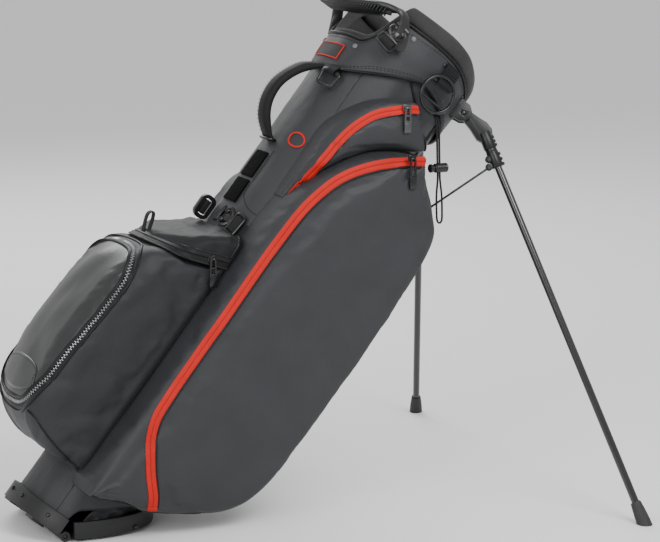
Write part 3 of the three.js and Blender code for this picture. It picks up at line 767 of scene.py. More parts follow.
def collar():
    angles = around(220, *FRAME)

    def reach(share):
        return FRAME[0] - TUBE[0] + 3.2 + 2.0 * share + 1.6 * math.sin(math.pi * share)

    points = ring_sheet(angles, 26, reach, collar_bottom, lambda a: rim_top(a) - pad_height(a) - 1)
    outward = unit(points * np.array([1, 1, 0]))
    for i, j, n, y, s in each_point(points):
        points[i, j] += outward[i, j] * ripple((n, y, s * 1.4), 34, 1.1)
    skin = sheet("cuff_collar_cloth", points, CHARCOAL, from_axis, 2.0, wrap=True, stands_for=["cuff_collar"])
    for end, row, radius in (("lower", 0, 2.0), ("upper", -1, 2.6)):
        edge = points[row] + outward[row] * 0.3
        pipe(f"cuff_piping_{end}", edge, outward[row], radius, closed=True)
    thread = Parts()
    for row in (2, 3, -4):
        normals = np.vstack([outward[row], outward[row][:1]])
        stitching(thread, np.vstack([points[row], points[row][:1]]) + normals * 0.2, normals)
    thread.piece("cuff_stitching", TRIM)
    return surface_of(*skin)


def rim_pad():
    angles = around(200, *TUBE)
    rows = []
    for turn in full_turn(18):
        out = 11.6 * signed_power(math.cos(turn), 0.7)
        share = 0.5 + 0.47 * signed_power(math.sin(turn), 0.75)
        reach = out * (1 - 0.5 * hand_gap(angles))
        n, y = superellipse(angles, TUBE[0] + reach, TUBE[1] + reach)
        rows.append(np.stack([n, y, rim_top(angles) - pad_height(angles) * (1 - share)], 1))
    points = np.array(rows)
    for i, j, n, y, s in each_point(points):
        points[i, j, 2] += ripple((n, y, s), 30, 0.8)
    flat = points.reshape(-1, 3)
    sections, columns = points.shape[:2]
    faces = grid_faces(sections, columns, wrap=True) + closing_faces(sections, columns)
    middle = np.stack([*superellipse(angles, *TUBE), rim_top(angles) - pad_height(angles) / 2], 1)
    corners = flat[np.array(faces[:columns])]
    normals = np.cross(corners[:, 2] - corners[:, 0], corners[:, 3] - corners[:, 1])
    if (normals * (points[0] - middle)).sum() < 0:
        faces = [tuple(reversed(face)) for face in faces]
    piece("rim_pad_mesh", flat, faces, MESH_PAD, stands_for=["rim_pad"])


def dividers():
    """Cloth-covered dividers with a padded roll along each top edge."""
    outline = [
        (-91, 14), (-64, 14), (-50, 70), (88, 184), (91, 830), (50, 858), (-20, 856), (-60, 815),
        (-91, 800),
    ]
    long_top = smooth_line([(-88, 0, 800), (-60, 0, 815), (-20, 0, 856), (50, 0, 858), (88, 0, 834)], 40)
    cross = [(-89, 106), (-2, 106), (-2, 856), (-89, 856)]
    cross_top = smooth_line([(0, -88, 856), (0, -45, 855), (0, -7, 857)], 16)
    for name, shape, along_n, top in (
        ("divider_long", outline, True, long_top),
        ("divider_near", cross, False, cross_top),
        ("divider_far", [(-a, s) for a, s in cross], False, cross_top * np.array([1, -1, 1])),
    ):
        parts = Parts()
        count = len(shape)
        for across in (-1.4, 1.4):
            flat = [(a, across, s) if along_n else (across, a, s) for a, s in shape]
            parts.add(flat, [tuple(range(count))])
        for i in range(count):
            j = (i + 1) % count
            parts.faces.append((i, j, count + j, count + i))
        parts.add(*swept(top, circle(5.2, 10, 1.15), (0, 0, 1)))
        parts.piece(f"{name}_cloth", DIVIDER, stands_for=[name], recalculate=True)


def lift_handle():
    """A ribbed grip behind the rim, whose ends turn down and run into the cuff."""
    half = [
        (-65, -105, 836), (-71, -108, 852), (-79, -109, 867), (-89, -105, 878), (-103, -94, 875),
        (-116, -80, 869), (-129, -46, 860),
    ]
    count = 160
    path = smooth_line([*half, (-135, 0, 857), *other_side(half)], count)
    from_end = near_end(count)
    turned_up = smoothstep(from_end, 0.04, 0.22)[:, None]
    outward = np.column_stack([np.full(count, -0.25), np.sign(path[:, 1]), np.full(count, 0.2)])
    up = unit(outward * (1 - turned_up) + np.array([0, 0, 1.0]) * turned_up)
    thick = 0.45 + 0.55 * turned_up[:, 0]
    wide = 1.0 - 0.22 * np.exp(-(((from_end - 0.11) / 0.05) ** 2))
    grip = [
        (-10.5, 1), (-11, 4), (-9, 7.2), (-4, 8.4), (4, 8.4), (9, 7.2), (11, 4), (10.5, 1), (8, -1),
        (-8, -1),
    ]
    shape = swept(path, grip, up, sizes=np.column_stack([wide, thick]))
    piece("lift_handle_grip", *shape, PLASTIC, stands_for=["lift_handle"])
    core = [(-3.5, -6), (-3.5, 1.5), (3.5, 1.5), (3.5, -6)]
    piece("lift_handle_core", *swept(path[30:-30], core, (0, 0, 1)), PLASTIC_BLACK)
    ribs = Parts()
    stations = resample(path, 76)
    along = unit(np.gradient(stations, axis=0))
    for i in range(16, 60):
        rib = rounded_block((1.7, 19.5, 9.5), 0.5, 1)
        ribs.add(*rib, frame_at(Vector(stations[i]) + Vector((0, 0, -3.4)), (0, 0, 1), along[i]))
    ribs.piece("lift_handle_ribs", PLASTIC)


def rounded_loop(width, height, radius):
    """A closed rounded rectangle in the x-y plane about the origin."""
    points = []
    for x, y, start in ((1, 1, 0), (-1, 1, 90), (-1, -1, 180), (1, -1, 270)):
        for step in range(7):
            turn = math.radians(start + 15 * step)
            points.append((x * (width / 2 - radius) + radius * math.cos(turn),
                           y * (height / 2 - radius) + radius * math.sin(turn), 0))
    return resample([*points, points[0]], 57)[:-1]


def side_release_buckle(name, place, outward, along, node, size):
    """A side-release buckle: a hooked body, two curved prongs and a ladder with webbing through it."""
    lay = frame_at(place, outward, along) @ Matrix.Scale(size, 4)
    parts = Parts()
    ladder = swept(rounded_loop(19, 33, 5), circle(2.3, 8, 1.2), (0, 0, 1), closed=True)
    parts.add(*ladder, lay @ Matrix.Translation((14, 0, 0)))
    for block, radius, x, z in (
        ((4, 30, 5), 1.5, 5, 0.6), ((15, 12, 6.5), 2.2, -3, 0), ((7, 27, 7), 2.2, -22, 0),
    ):
        parts.add(*rounded_block(block, radius), lay @ Matrix.Translation((x, 0, z)))
    button = turned([(0, -2), (4.2, -1.6), (4.4, 1.6), (3, 2.8), (0, 2.6)], 16)
    for y in (-1, 1):
        line = [(1, y * 5, 0), (-3, y * 12, 0.5), (-9, y * 15, 1), (-15, y * 12.5, 1), (-18, y * 8, 0.4)]
        parts.add(*swept(smooth_line(line, 20), circle(2.7, 8, 0.9), (0, 0, 1)), lay)
        parts.add(*button, lay @ Matrix.Translation((-15, y * 8, 0)))
    parts.piece(name, PLASTIC_BLACK, stands_for=[node], recalculate=True)
    strap = smooth_line([(3, 0, -2.6), (8, 0, 1.5), (13, 0, 3.6), (18, 0, 1.5), (24, 0, -3)], 18)
    Parts().add(*swept(strap, band(12, 0.8), (0, 0, 1)), lay).piece(f"{name}_web", BLACK_CLOTH)


def rivets(name, places, look, radius):
    parts = Parts()
    dome = [
        (0, -1.5), (radius, -1.2), (radius, 0.5), (radius * 0.86, 1.2), (radius * 0.45, 1.7), (0, 1.8),
    ]
    for place, normal in places:
        parts.add(*turned(dome, 18), frame_at(place, normal, (0.1, 0.2, 1)))
    parts.piece(name, look, smooth=50)


COLLAR_SKIN = collar()
rim_pad()
dividers()
lift_handle()
side_release_buckle(
    "cuff_buckle_body", (-82, -108, 846), (-0.5, -0.86, 0.05), (-0.22, 0.16, -1), "cuff_buckle", 0.85
)


def on_collar(angle, s):
    """The place and the normal on the cuff at that angle and height."""
    n, y = (float(value) for value in superellipse(angle, 160, 160))
    places, normals = press(COLLAR_SKIN, [(n, y, s)], (-n, -y, 0), 0.4)
    return places[0], normals[0]


def angle_of(n, side):
    """The section angle on the near (-1) or far (+1) side at that n."""
    share = np.clip(abs(n) / FRAME[0], 0, 1) ** (POWER / 2)
    turn = math.acos(share if n > 0 else -share)
    return side * turn


def collar_details():
    light, dark, screws = [], [], []
    for side in (-1, 1):
        light += [on_collar(angle_of(n, side), height) for n, height in ((-92, 812), (-47, 865))]
        dark.append(on_collar(angle_of(12, side), 864))
        screws.append(on_collar(angle_of(72, side), 850))
    rivets("cuff_rivets", light, RIVET, 3.9)
    rivets("cuff_rivets_dark", dark, PLASTIC_BLACK, 3.4)
    rivets("cuff_screws", screws, PLASTIC_BLACK, 2.6)


def patch():
    """A blank label with a red stitched border, on the back of the cuff."""
    low, high, half = 784, 806, 35
    grid = [[(-200, y, s) for y in np.linspace(-half, half, 26)] for s in np.linspace(low, high, 12)]
    pressed_sheet("cuff_patch", COLLAR_SKIN, grid, 1.0, DIVIDER, 1.0)
    across = np.linspace(-half, half, 24)
    upright = np.linspace(low + 2, high - 2, 8)
    edge = [*[(y, low) for y in across], *[(half, s) for s in upright]]
    edge += [*[(y, high) for y in across[::-1]], *[(-half, s) for s in upright[::-1]]]
    border, up = press(COLLAR_SKIN, [(-200, y, s) for y, s in edge], (1, 0, 0), 1.3)
    pipe("cuff_patch_border", border, up, 1.1, RED, squeeze=0.7, closed=True)


collar_details()
patch()


# ---- side pockets ----
def edge_lookup(pairs):
    """n as a function of s along a smooth edge given as (n, s) pairs."""
    line = smooth_line(pairs, 300)
    order = np.argsort(line[:, 1], kind="stable")
    return lambda s: np.interp(s, line[order, 1], line[order, 0])


def leg_limit(n):
    """How far out a pocket's back must start to stay clear of the folding leg."""
    return np.interp(n, [78, 95, 190], [98, 104, 148])


def pocket_sections(rear_edge, front_edge, depth, side, rows, crown):
    """A shell wrapped from the tube out over the pocket's face and back, a section for each height."""
    rear, front = edge_lookup(rear_edge), edge_lookup(front_edge)
    low, high = rear_edge[0][1], rear_edge[-1][1]
    share = np.linspace(0, 1, rows)
    heights = low + (high - low) * (share - 0.105 * np.sin(2 * np.pi * share))
    sections = []
    for s in heights:
        a = float(rear(s))
        b = max(float(front(s)), a + 0.5)
        out = depth(s)
        width = b - a
        fullness = crown * min(1.0, width / 120)
        slope = 3 + 8 * float(smoothstep(width, 0, 60))
        wall = [
            (a - slope, side_of_tube(a - slope) - 1),
            (a - slope * 0.5, side_of_tube(a) * 0.45 + out * 0.55), (a, out - 3),
        ]
        u = np.linspace(0, 1, 40)
        face = [(a + width * t, out + fullness * math.sin(math.pi * t) ** 0.8) for t in u]
        if b > 84:
            back = [(b, out - 2), (b - 2, float(leg_limit(b)) + 1)]
            back += [(84, 101), (79, 95), (79, side_of_tube(79) - 2)]
        else:
            back = [(b, out - 3), (b + 1, (side_of_tube(b) + out) / 2), (b + 2, side_of_tube(b + 2) - 2)]
        parts = [resample(wall, 14)[:-1], resample(face, 38), resample(back, 22)[1:]]
        line = softened(np.vstack(parts), 5)
        sections.append(np.column_stack([line[:, 0], side * line[:, 1], np.full(len(line), s)]))
    return np.array(sections)


def side_pocket(name, node, rear_edge, front_edge, depth, side, crown, rows, cap=4.5):
    points = pocket_sections(rear_edge, front_edge, depth, side, rows, crown)
    columns = points.shape[1]
    for i, j, n, y, s in each_point(points):
        fold = ripple((n * 0.5 + s * 0.22, y * 0.5, s * 0.55 - n * 0.3), 30, 2.4)
        points[i, j, 1] += side * fold * min(1, j / 10, (columns - 1 - j) / 14)
    flat = points.reshape(-1, 3)
    faces = facing_out(flat, grid_faces(rows, columns), lambda p: p * np.array([1, 0, 1]))
    made = piece(f"{name}_cloth", flat, faces, CHARCOAL, stands_for=[node])
    column = np.arange(columns)
    held = np.clip(1 - np.minimum(column - 3, columns - 5 - column) / 6, 0, 1)
    seam = np.exp(-(((column - 15) / 2.5) ** 2))
    pinned = np.broadcast_to(np.maximum(held, seam), (rows, columns)).copy()
    pinned[:3] = 1
    pinned[-3:] = 1
    flat = puffed(made, flat, pinned.ravel(), 2.5, cap, 0.012)
    thicken(made, CLOTH_THICKNESS)
    return flat.reshape(points.shape), faces


APPAREL_REAR = [
    (-73, 74), (-73, 150), (-69, 240), (-69, 420), (-67, 540), (-58, 600), (-42, 640), (-12, 683),
    (24, 714), (60, 737),
]
APPAREL_FRONT = [
    (-73, 74), (-20, 90), (30, 104), (113, 158), (148, 215), (159, 300), (161, 420), (160, 540),
    (150, 640), (122, 680), (60, 737),
]
VALUABLES_REAR = [(-73, 570), (-72, 640), (-66, 694), (-52, 733), (-30, 765), (4, 792)]
VALUABLES_FRONT = [
    (-68, 570), (-62, 606), (-46, 646), (-15, 690), (22, 722), (62, 748), (38, 770), (10, 793),
]
FAR_REAR = [(-60, 200), (-64, 300), (-64, 480), (-62, 570), (-40, 606)]
FAR_FRONT = [(-60, 200), (20, 200), (110, 232), (136, 300), (138, 480), (120, 566), (60, 604), (-40, 606)]


def swell(flat, full, start, end):
    return lambda s: flat + (full - flat) * float(smoothstep(s, start, end))


def taper(full, thin, start, end):
    return lambda s: full - (full - thin) * float(smoothstep(s, start, end))


def zip_on(name, tree, line, width, side, look, widths=None, stands_for=()):
    """A zip whose two lips meet in a groove, lying on a pocket's face; line holds (n, s) pairs."""
    count = 150
    path, normals = lie_on(tree, line, count, side, 0.6)
    path = softened(path, 4)
    half = width / 2
    right = [(0.7, 1.2), (half * 0.3, 1.5), (half * 0.8, 1.3), (half, 0.7), (half, -0.8)]
    lips = [*[(-x, z) for x, z in reversed(right)], (0, 0.3), *right]
    sizes = None if widths is None else np.column_stack([widths(np.linspace(0, 1, count)), np.ones(count)])
    piece(name, *swept(path, lips, normals, sizes=sizes), look, smooth=60, stands_for=stands_for)
    return path, normals, sizes


def edge_piping(name, path, normals, offset, radius=1.5, sizes=None):
    """Black piping beside a path, offset across it."""
    along = unit(np.gradient(path, axis=0))
    across = np.cross(along, unit(normals))
    scale = 1.0 if sizes is None else sizes[:, :1]
    pipe(name, path + across * (offset * scale) + normals * 0.1, normals, radius)


def apparel_pocket():
    points, faces = side_pocket("apparel_pocket", "apparel_pocket", APPAREL_REAR, APPAREL_FRONT,
                                taper(137, 130, 640, 737), -1, 4.0, 150)
    tree = surface_of(points.reshape(-1, 3), faces)
    line = [
        (15, 108), (2, 124), (-14, 140), (-38, 170), (-54, 200), (-60, 240), (-60, 420), (-58, 548),
        (-48, 606), (-33, 642), (-6, 678), (26, 707), (60, 732),
    ]
    path, normals, _ = zip_on("apparel_zip_tape", tree, line, 14, -1, RED, stands_for=["apparel_zip"])
    edge_piping("apparel_zip_piping", path, normals, 8.4)
    stop = rounded_block((15, 6, 3), 1.0, 1)
    end = frame_at(path[0] + normals[0] * 0.6, normals[0], np.cross(path[1] - path[0], normals[0]))
    Parts().add(*stop, end).piece("apparel_zip_stop", RED)
    low = [(-70, 76), (-39, 84), (-6, 95), (20, 103), (52, 120), (84, 142)]
    hem, up = lie_on(tree, low, 60, -1, 0.4)
    pipe("apparel_hem_piping", softened(hem, 4), up, 1.6)
    front = points[4:-3, -20]
    outward = np.broadcast_to(unit(np.array([1.0, -1.0, 0.0])), front.shape)
    pipe("apparel_front_piping", softened(front, 6) + outward * 0.4, outward, 1.5)


def valuables_pocket():
    points, faces = side_pocket("valuables_pocket", "valuables_pocket", VALUABLES_REAR, VALUABLES_FRONT,
                                swell(90, 112, 560, 650), -1, 1.5, 90, cap=3.0)
    flat = points.reshape(-1, 3)
    line = [(-70, 572), (-66, 612), (-64, 650), (-56, 700), (-40, 738), (-16, 765), (4, 781), (14, 787)]
    path, normals, sizes = zip_on("valuables_zip_tape", surface_of(flat, faces), line, 13, -1, RED,
                                  widths=lambda t: 0.15 + 0.85 * smoothstep(t, 0, 0.22),
                                  stands_for=["valuables_zip"])
    edge_piping("valuables_zip_piping", path, normals, 7.2, 1.0, sizes)
    both = Parts().add(flat, faces).add(panel_points.points, panel_points.faces)
    edge = [(-12, 815), (14, 793), (38, 771), (62, 749)]
    path, normals = lie_on(surface_of(both.points, both.faces), edge, 60, -1, 0.8)
    pipe("valuables_front_piping", softened(path, 6), normals, 1.6)


def far_pocket():
    points, faces = side_pocket("accessory_pocket", "accessory_pocket_far", FAR_REAR, FAR_FRONT,
                                lambda _: FAR_POCKET_Y - 3, 1, 4.0, 100)
    tree = surface_of(points.reshape(-1, 3), faces)
    line = [(10, 216), (-20, 224), (-46, 252), (-52, 300), (-52, 480), (-46, 556), (-20, 586), (30, 588)]
    path, normals, _ = zip_on("accessory_zip_tape", tree, line, 13, 1, ZIP_BLACK)
    edge_piping("accessory_zip_piping", path, normals, 7.8)
    edge_piping("accessory_zip_piping_rear", path, normals, -7.8, 1.3)


apparel_pocket()
valuables_pocket()
far_pocket()


# ---- ball pocket, its leather panel and zip ----
BALL_CENTRE = np.array([-150.0, 0, 260])
BALL_OUTLINE = [
    (-82, 92), (-136, 92), (-168, 102), (-188, 116), (-199, 133), (-205, 160), (-212, 213), (-213, 253),
    (-211, 296), (-206, 340), (-197, 377), (-187, 397), (-170, 410), (-153, 417), (-118, 430), (-82, 446),
]
CORNER = 34


def ball_plan(rear, half, s):
    """The pocket seen from above at one height: root, side, rounded corner, rear, and back again."""
    reach = max(-rear, 84)
    corner = min(CORNER + 24 * (1 - float(smoothstep(s, 105, 165))), half * 0.8, (reach - 80) * 0.9 + 2)
    turns = np.linspace(0, math.pi / 2, 12)
    side = [(-77, -72), (-77.5, -84), (-82, -half * 0.985), (-(reach - corner), -half)]
    arc = [(-(reach - corner) - corner * math.sin(t), -(half - corner) - corner * math.cos(t)) for t in turns]
    line = [*side, *arc[1:]]
    mirrored_line = [(n, -y) for n, y in reversed(line)]
    return softened(resample([*line, (-reach - 3, 0), *mirrored_line], 96), 2)


def ball_points():
    rows = []
    for n, s in smooth_line(BALL_OUTLINE, 90):
        edge = min((s - 92) / 26, (452 - s) / 22, 1.0)
        half = BALL_HALF - (12 if s < 250 else 3) * (1 - max(0.0, edge)) ** 2
        plan = ball_plan(n, half, s)
        rows.append(np.column_stack([plan, np.full(len(plan), s)]))
    points = np.array(rows)
    for i, j, n, y, s in each_point(points):
        sag = ripple((n * 0.6 - s * 0.35, y * 0.4, s * 0.5 + n * 0.3), 24, 3.4) + ripple((n, y, s), 13, 0.9)
        side = np.clip((abs(y) - 60) / 26, 0, 1)
        side = side * np.clip((n + 196) / 30, 0, 1) * np.clip((-90 - n) / 16, 0, 1)
        points[i, j, 1] -= np.sign(y) * side * (3.0 + sag)
    return points


ZIP_CENTRE, ZIP_HALF_HEIGHT, ZIP_HALF_WIDTH, ZIP_FLARE, ZIP_POWER = 258, 135, 90, 7, 3.2


def ball_pocket():
    points = ball_points()
    flat = points.reshape(-1, 3)
    faces = facing_out(flat, grid_faces(*points.shape[:2]), from_point(-120, 0, 270))
    # The ball pocket gets the darker copy of the charcoal fabric, which paints shade low on the bag.
    made = piece("ball_pocket_cloth", flat, faces, SHADED_CHARCOAL, stands_for=["ball_pocket"])
    pinned = np.ones(points.shape[:2])
    pinned[8:-16, 8:36] = 0.0
    pinned[8:-16, -36:-8] = 0.0
    flat = puffed(made, flat, pinned.ravel(), 1.6, 4.0, 0.02)
    thicken(made, CLOTH_THICKNESS)
    return flat.reshape(points.shape), faces


BALL_GRID, BALL_FACES = ball_pocket()


def around_ball(across, s):
    """The place on the ball pocket at a distance round from the middle of its back, at height s."""
    rows = BALL_GRID[12:-12]
    middle = BALL_GRID.shape[1] // 2
    line = []
    for j in range(rows.shape[1]):
        n, y, heights = rows[:, j].T
        line.append([np.interp(s, heights, n), np.interp(s, heights, y), s])
    line = np.array(line)
    along = distances(line)
    along -= (along[middle] + along[middle - 1]) / 2
    return at_distances(across, along, line)


def zip_loop(turn, share=1.0):
    power = 2 / ZIP_POWER
    height = signed_power(math.sin(turn), power)
    across = (ZIP_HALF_WIDTH + ZIP_FLARE * height) * signed_power(math.cos(turn), power) * share
    return across, ZIP_CENTRE + ZIP_HALF_HEIGHT * height * share


def loop_on_ball(count, share, lift):
    path = np.array([around_ball(*zip_loop(turn, share)) for turn in full_turn(180)])
    path = resample(np.vstack([path, path[:1]]), count + 1)[:-1]
    outward = unit((path - BALL_CENTRE) * np.array([1, 0.9, 0.25]))
    for _ in range(4):
        path = (np.roll(path, 1, 0) + 2 * path + np.roll(path, -1, 0)) / 4
    return path + outward * lift, outward


def leather_panel():
    rings, spokes = 22, 120
    points = []
    for ring in range(rings):
        share = 0.955 * (1 - (ring / rings) ** 1.15)
        for turn in full_turn(spokes):
            place = around_ball(*zip_loop(turn, share))
            rise = 1.8 + 2.6 * math.sin(math.pi * min(1, (1 - share) * 2.2) / 2)
            dent = ripple((place[1] * 0.7, place[2] * 0.45, 3.0), 30, 3.2) * min(1, (1 - share) * 4)
            outward = unit((place - BALL_CENTRE) * np.array([1, 0.9, 0.15]))
            points.append(place + outward * (rise + dent))
    points.append(np.mean(points[-spokes:], 0))
    faces = grid_faces(rings, spokes, wrap=True)
    top = (rings - 1) * spokes
    faces += [(top + j, top + (j + 1) % spokes, len(points) - 1) for j in range(spokes)]
    quads = facing_out(points, faces[:-spokes], from_point(*BALL_CENTRE))
    if quads[0] != faces[0]:
        faces = [tuple(reversed(face)) for face in faces]
    thicken(piece("leather_panel_shell", points, faces, LEATHER, stands_for=["ball_pocket_panel"]), 1.6)
    rim, up = loop_on_ball(220, 0.955, 2.4)
    pipe("leather_panel_piping", rim, up, 2.2, sides=10, closed=True)
    return surface_of(points, faces)


def ball_zip():
    path, up = loop_on_ball(260, 1.0, 1.2)
    tape = [
        (-7.5, -1), (-7.5, 0.6), (-3.5, 0.9), (-2.5, 0.2), (2.5, 0.2), (3.5, 0.9), (7.5, 0.6), (7.5, -1),
    ]
    piece("ball_zip_tape", *swept(path, tape, up, closed=True), ZIP_BLACK, stands_for=["ball_zip"])
    teeth = Parts()
    row = resample(np.vstack([path, path[:1]]), 330)[:-1]
    outward = unit((row - BALL_CENTRE) * np.array([1, 0.9, 0.25]))
    along = unit(np.roll(row, -1, 0) - np.roll(row, 1, 0))
    across = np.cross(along, outward)
    tooth = rounded_block((1.5, 3.4, 1.5), 0.3, 1)
    for i, place in enumerate(row):
        shift = 1.1 if i % 2 else -1.1
        teeth.add(*tooth, frame_at(place + across[i] * shift + outward[i] * 0.7, outward[i], along[i]))
    teeth.piece("ball_zip_teeth", TEETH)
    edge, up = loop_on_ball(240, 1.075, 0.6)
    pipe("ball_outer_piping", edge, up, 2.0, closed=True)


def ball_seams():
    """The piped seam down each side's lower corner."""
    tree = surface_of(BALL_GRID.reshape(-1, 3), BALL_FACES)
    line = [(-190, 122), (-172, 116), (-146, 106), (-112, 99), (-86, 95)]
    for name, side in (("near", -1), ("far", 1)):
        path, up = lie_on(tree, line, 50, side, 0.6, reach=200.0)
        pipe(f"ball_seam_{name}", softened(path, 3), up, 1.7)


PANEL_SKIN = leather_panel()
ball_zip()
ball_seams()


def panel_foot_patch():
    """A second layer of leather stitched over the panel's foot, as wide as the panel."""
    grid = []
    for t in np.linspace(0, 1, 12):
        row = []
        for u in np.linspace(-1, 1, 30):
            top = 172 + 12 * (1 - abs(u) ** 3)
            bottom = 136 + 16 * u**2
            row.append(around_ball(u * (62 - 4 * t), bottom + (top - bottom) * t) + np.array([-60, 0, 0]))
        grid.append(row)
    edge = pressed_sheet(
        "leather_foot_patch", PANEL_SKIN, grid, 1.2, LEATHER, CLOTH_THICKNESS, centre=from_point(-100, 0, 160)
    )
    rim = np.vstack([edge[5:-1, 1], edge[-2, 2:-2], edge[-2:4:-1, -2]])
    up = unit(rim - np.array([-100.0, 0, 160]))
    thread = Parts()
    stitching(thread, rim + up * 0.2, up, 3.0, 2.2, 0.3)
    thread.piece("leather_foot_stitching", TRIM)


panel_foot_patch()


# ---- hood pocket over the ball pocket ----
HOOD_REAR, HOOD_HALF, HOOD_CORNER = -175, 93, 45
HOOD_FOOT = [(-208, 407), (-153, 421), (-81, 447)]
HOOD_RIDGE = [(-175, 424), (-170, 431), (-149, 449), (-109, 478), (-99, 487), (-81, 491)]


def height_on(line, n):
    return np.interp(n, [place[0] for place in line], [place[1] for place in line])


def hood_half(n):
    """Half the hood's width at n: the full width, and an elliptic rear end."""
    past = np.clip((HOOD_REAR + HOOD_CORNER - n) / HOOD_CORNER, 0, 0.97)
    return HOOD_HALF * np.sqrt(1 - past**2)


def hood_pocket():
    """A wedge of cloth on top of the ball pocket, which rises to the tube."""
    corner = HOOD_REAR + HOOD_CORNER * (1 - np.sin(np.linspace(1.33, 0.1, 16)))
    stations = np.concatenate([corner, np.linspace(HOOD_REAR + HOOD_CORNER, -81, 32)])
    columns = 90
    rows = []
    for n in stations:
        low = float(height_on(HOOD_FOOT, n)) - 5
        high = float(height_on(HOOD_RIDGE, n))
        half = float(hood_half(n))
        lip = min(14.0, (high - low) * 0.6)
        side = [
            (-half, low), (-half - 0.5, (low + high - lip) / 2), (-half + 2, high - lip),
            (-half + lip * 0.8, high - 2), (-half * 0.4, high + 1),
        ]
        line = resample([*side, *[(-y, s) for y, s in reversed(side)]], columns)
        rows.append(np.column_stack([np.full(columns, n), softened(line, 2)]))
    points = np.array(rows)
    for i, j, n, y, s in each_point(points):
        free = min(1, i / 12, (len(rows) - 1 - i) / 4) * min(1, j / 8, (columns - 1 - j) / 8)
        points[i, j, 2] += free * (ripple((n * 0.5, y * 0.3, s), 24, 5.5) + ripple((n, y, s), 10, 1.0))
        points[i, j, 1] += free * np.sign(y) * min(ripple((n, y, s), 22, 2.4), 0.3)
    centre = from_point(-120, 0, 300)
    sheet("hood_pocket_cloth", points, HOOD_CLOTH, centre, CLOTH_THICKNESS, stands_for=["hood_pocket"])
    return points


def hood_zip(points):
    """The zip round the hood's foot: along one side, across the rear and along the other side."""
    near = [(n, -HOOD_HALF - 0.8) for n in np.linspace(-84, HOOD_REAR + HOOD_CORNER, 16)]
    for turn in np.linspace(0.1, 1.45, 14):
        n = HOOD_REAR + HOOD_CORNER * (1 - math.sin(turn)) - 1.0
        near.append((n, -(HOOD_HALF + 0.8) * math.cos(turn)))
    plan = np.array([*near, *[(n, -y) for n, y in reversed(near)]])
    path = np.column_stack([plan, height_on(HOOD_FOOT, plan[:, 0]) + 2.5])
    path = softened(resample(path, 260), 4)
    along = np.abs(unit(np.gradient(path, axis=0)))
    up = np.column_stack([-along[:, 1], np.sign(path[:, 1]) * along[:, 0], np.full(len(path), 0.08)])
    up = unit(up + np.array([0, 0, 0.55]) * smoothstep(-path[:, 0], 130, 170)[:, None])
    tape = [(-7.5, -1), (-7.5, 0.8), (-1.4, 1.5), (0, 0.4), (1.4, 1.5), (7.5, 0.8), (7.5, -1)]
    piece("hood_zip_tape", *swept(path, tape, up), ZIP_BLACK, stands_for=["hood_zip"])
    edge_piping("hood_zip_piping_upper", path, up, 8.2)
    edge_piping("hood_zip_piping_lower", path, up, -8.2)
    rim = points[-4][6:-6]
    up = unit(rim - np.array([-84.0, 0, 380]))
    pipe("hood_front_piping", rim + up * 0.8, up, 2.2)
    loop = [
        (-178, 0, 421), (-185, 0, 435), (-188, 0, 446), (-184, 0, 452), (-179, 0, 447), (-172, 0, 427),
    ]
    loop = smooth_line(loop, 30)
    up = unit(loop - np.array([-181.0, 0, 437]))
    piece("hood_loop_tab", *swept(loop, band(5, 0.8), up), BLACK_CLOTH)


hood_zip(hood_pocket())


# ---- webbing and hardware on the spine ----
def carry_handle():
    line = [
        (-98, 0, 770), (-108, 0, 764), (-127, 0, 745), (-141, 0, 714), (-141, 0, 686), (-131, 0, 663),
        (-113, 0, 645), (-101, 0, 637),
    ]
    count = 90
    path = smooth_line(line, count)
    turns = full_turn(16)
    grip = np.column_stack([14.5 * signed_power(np.cos(turns), 0.6), 6.6 * signed_power(np.sin(turns), 0.8)])
    thick = 0.62 + 0.38 * smoothstep(near_end(count), 0.03, 0.2)
    sizes = np.column_stack([np.ones(count), thick])
    up = unit(path - np.array([-95.0, 0, 700]))
    shape = swept(path, grip, up, sizes=sizes)
    piece("carry_handle_web", *shape, BLACK_CLOTH, stands_for=["carry_handle"])
    thread = Parts()
    inner = slice(6, -6)
    for y in (-10.5, 10.5):
        line = path[inner] + up[inner] * 6.4 * thick[inner, None] + np.array([0, y, 0])
        stitching(thread, line, up[inner])
    thread.piece("carry_handle_stitching", TRIM)
    half = [(-97, -12, 639), (-103, -15, 637), (-108, -13, 635)]
    ring = smooth_line([*half, (-109.5, 0, 634), *other_side(half)], 50)
    pipe("carry_handle_loop", ring, (0, 0, 1), 2.6, PLASTIC_BLACK, sides=10)


def fuzzy_pad(name, node, low, high):
    """A patch of hook and loop with a rounded outline and a rough face."""
    columns, rows = 18, 26
    points = []
    for s in np.linspace(low, high, rows):
        for y in np.linspace(-20, 20, columns):
            corner = max(abs(y) - 14, 0) ** 2 + max(abs(s - (low + high) / 2) - (high - low) / 2 + 6, 0) ** 2
            pull_in = 1 - 0.12 * max(0, math.sqrt(corner) / 6 - 1)
            points.append((-200, y * pull_in, s))
    places, _ = press(TUBE_SKIN, points, (1, 0, 0), 2.6)
    places[:, 0] -= [ripple(place, 3.0, 0.5) for place in places]
    sheet(name, places.reshape(rows, columns, 3), NAP, from_axis, 2.4, stands_for=[node])


def strap_loop():
    lay = Matrix.Translation((-106, 40, 507)) @ Matrix.Rotation(math.pi / 2, 4, "X")
    rim = [(-2.2, -5), (-2.8, -4), (-2.8, 4), (-2.2, 5), (2.2, 5), (2.8, 4), (2.8, -4), (2.2, -5)]
    ring = swept(rounded_loop(19, 31, 7), rim, (0, 0, 1), closed=True)
    web = rounded_block((10, 22, 7), 2)
    Parts().add(*ring, lay).piece(
        "spine_loop_ring", PLASTIC_BLACK, stands_for=["spine_strap_loop"], recalculate=True
    )
    Parts().add(*web, lay).piece("spine_loop_web", BLACK_CLOTH, recalculate=True)


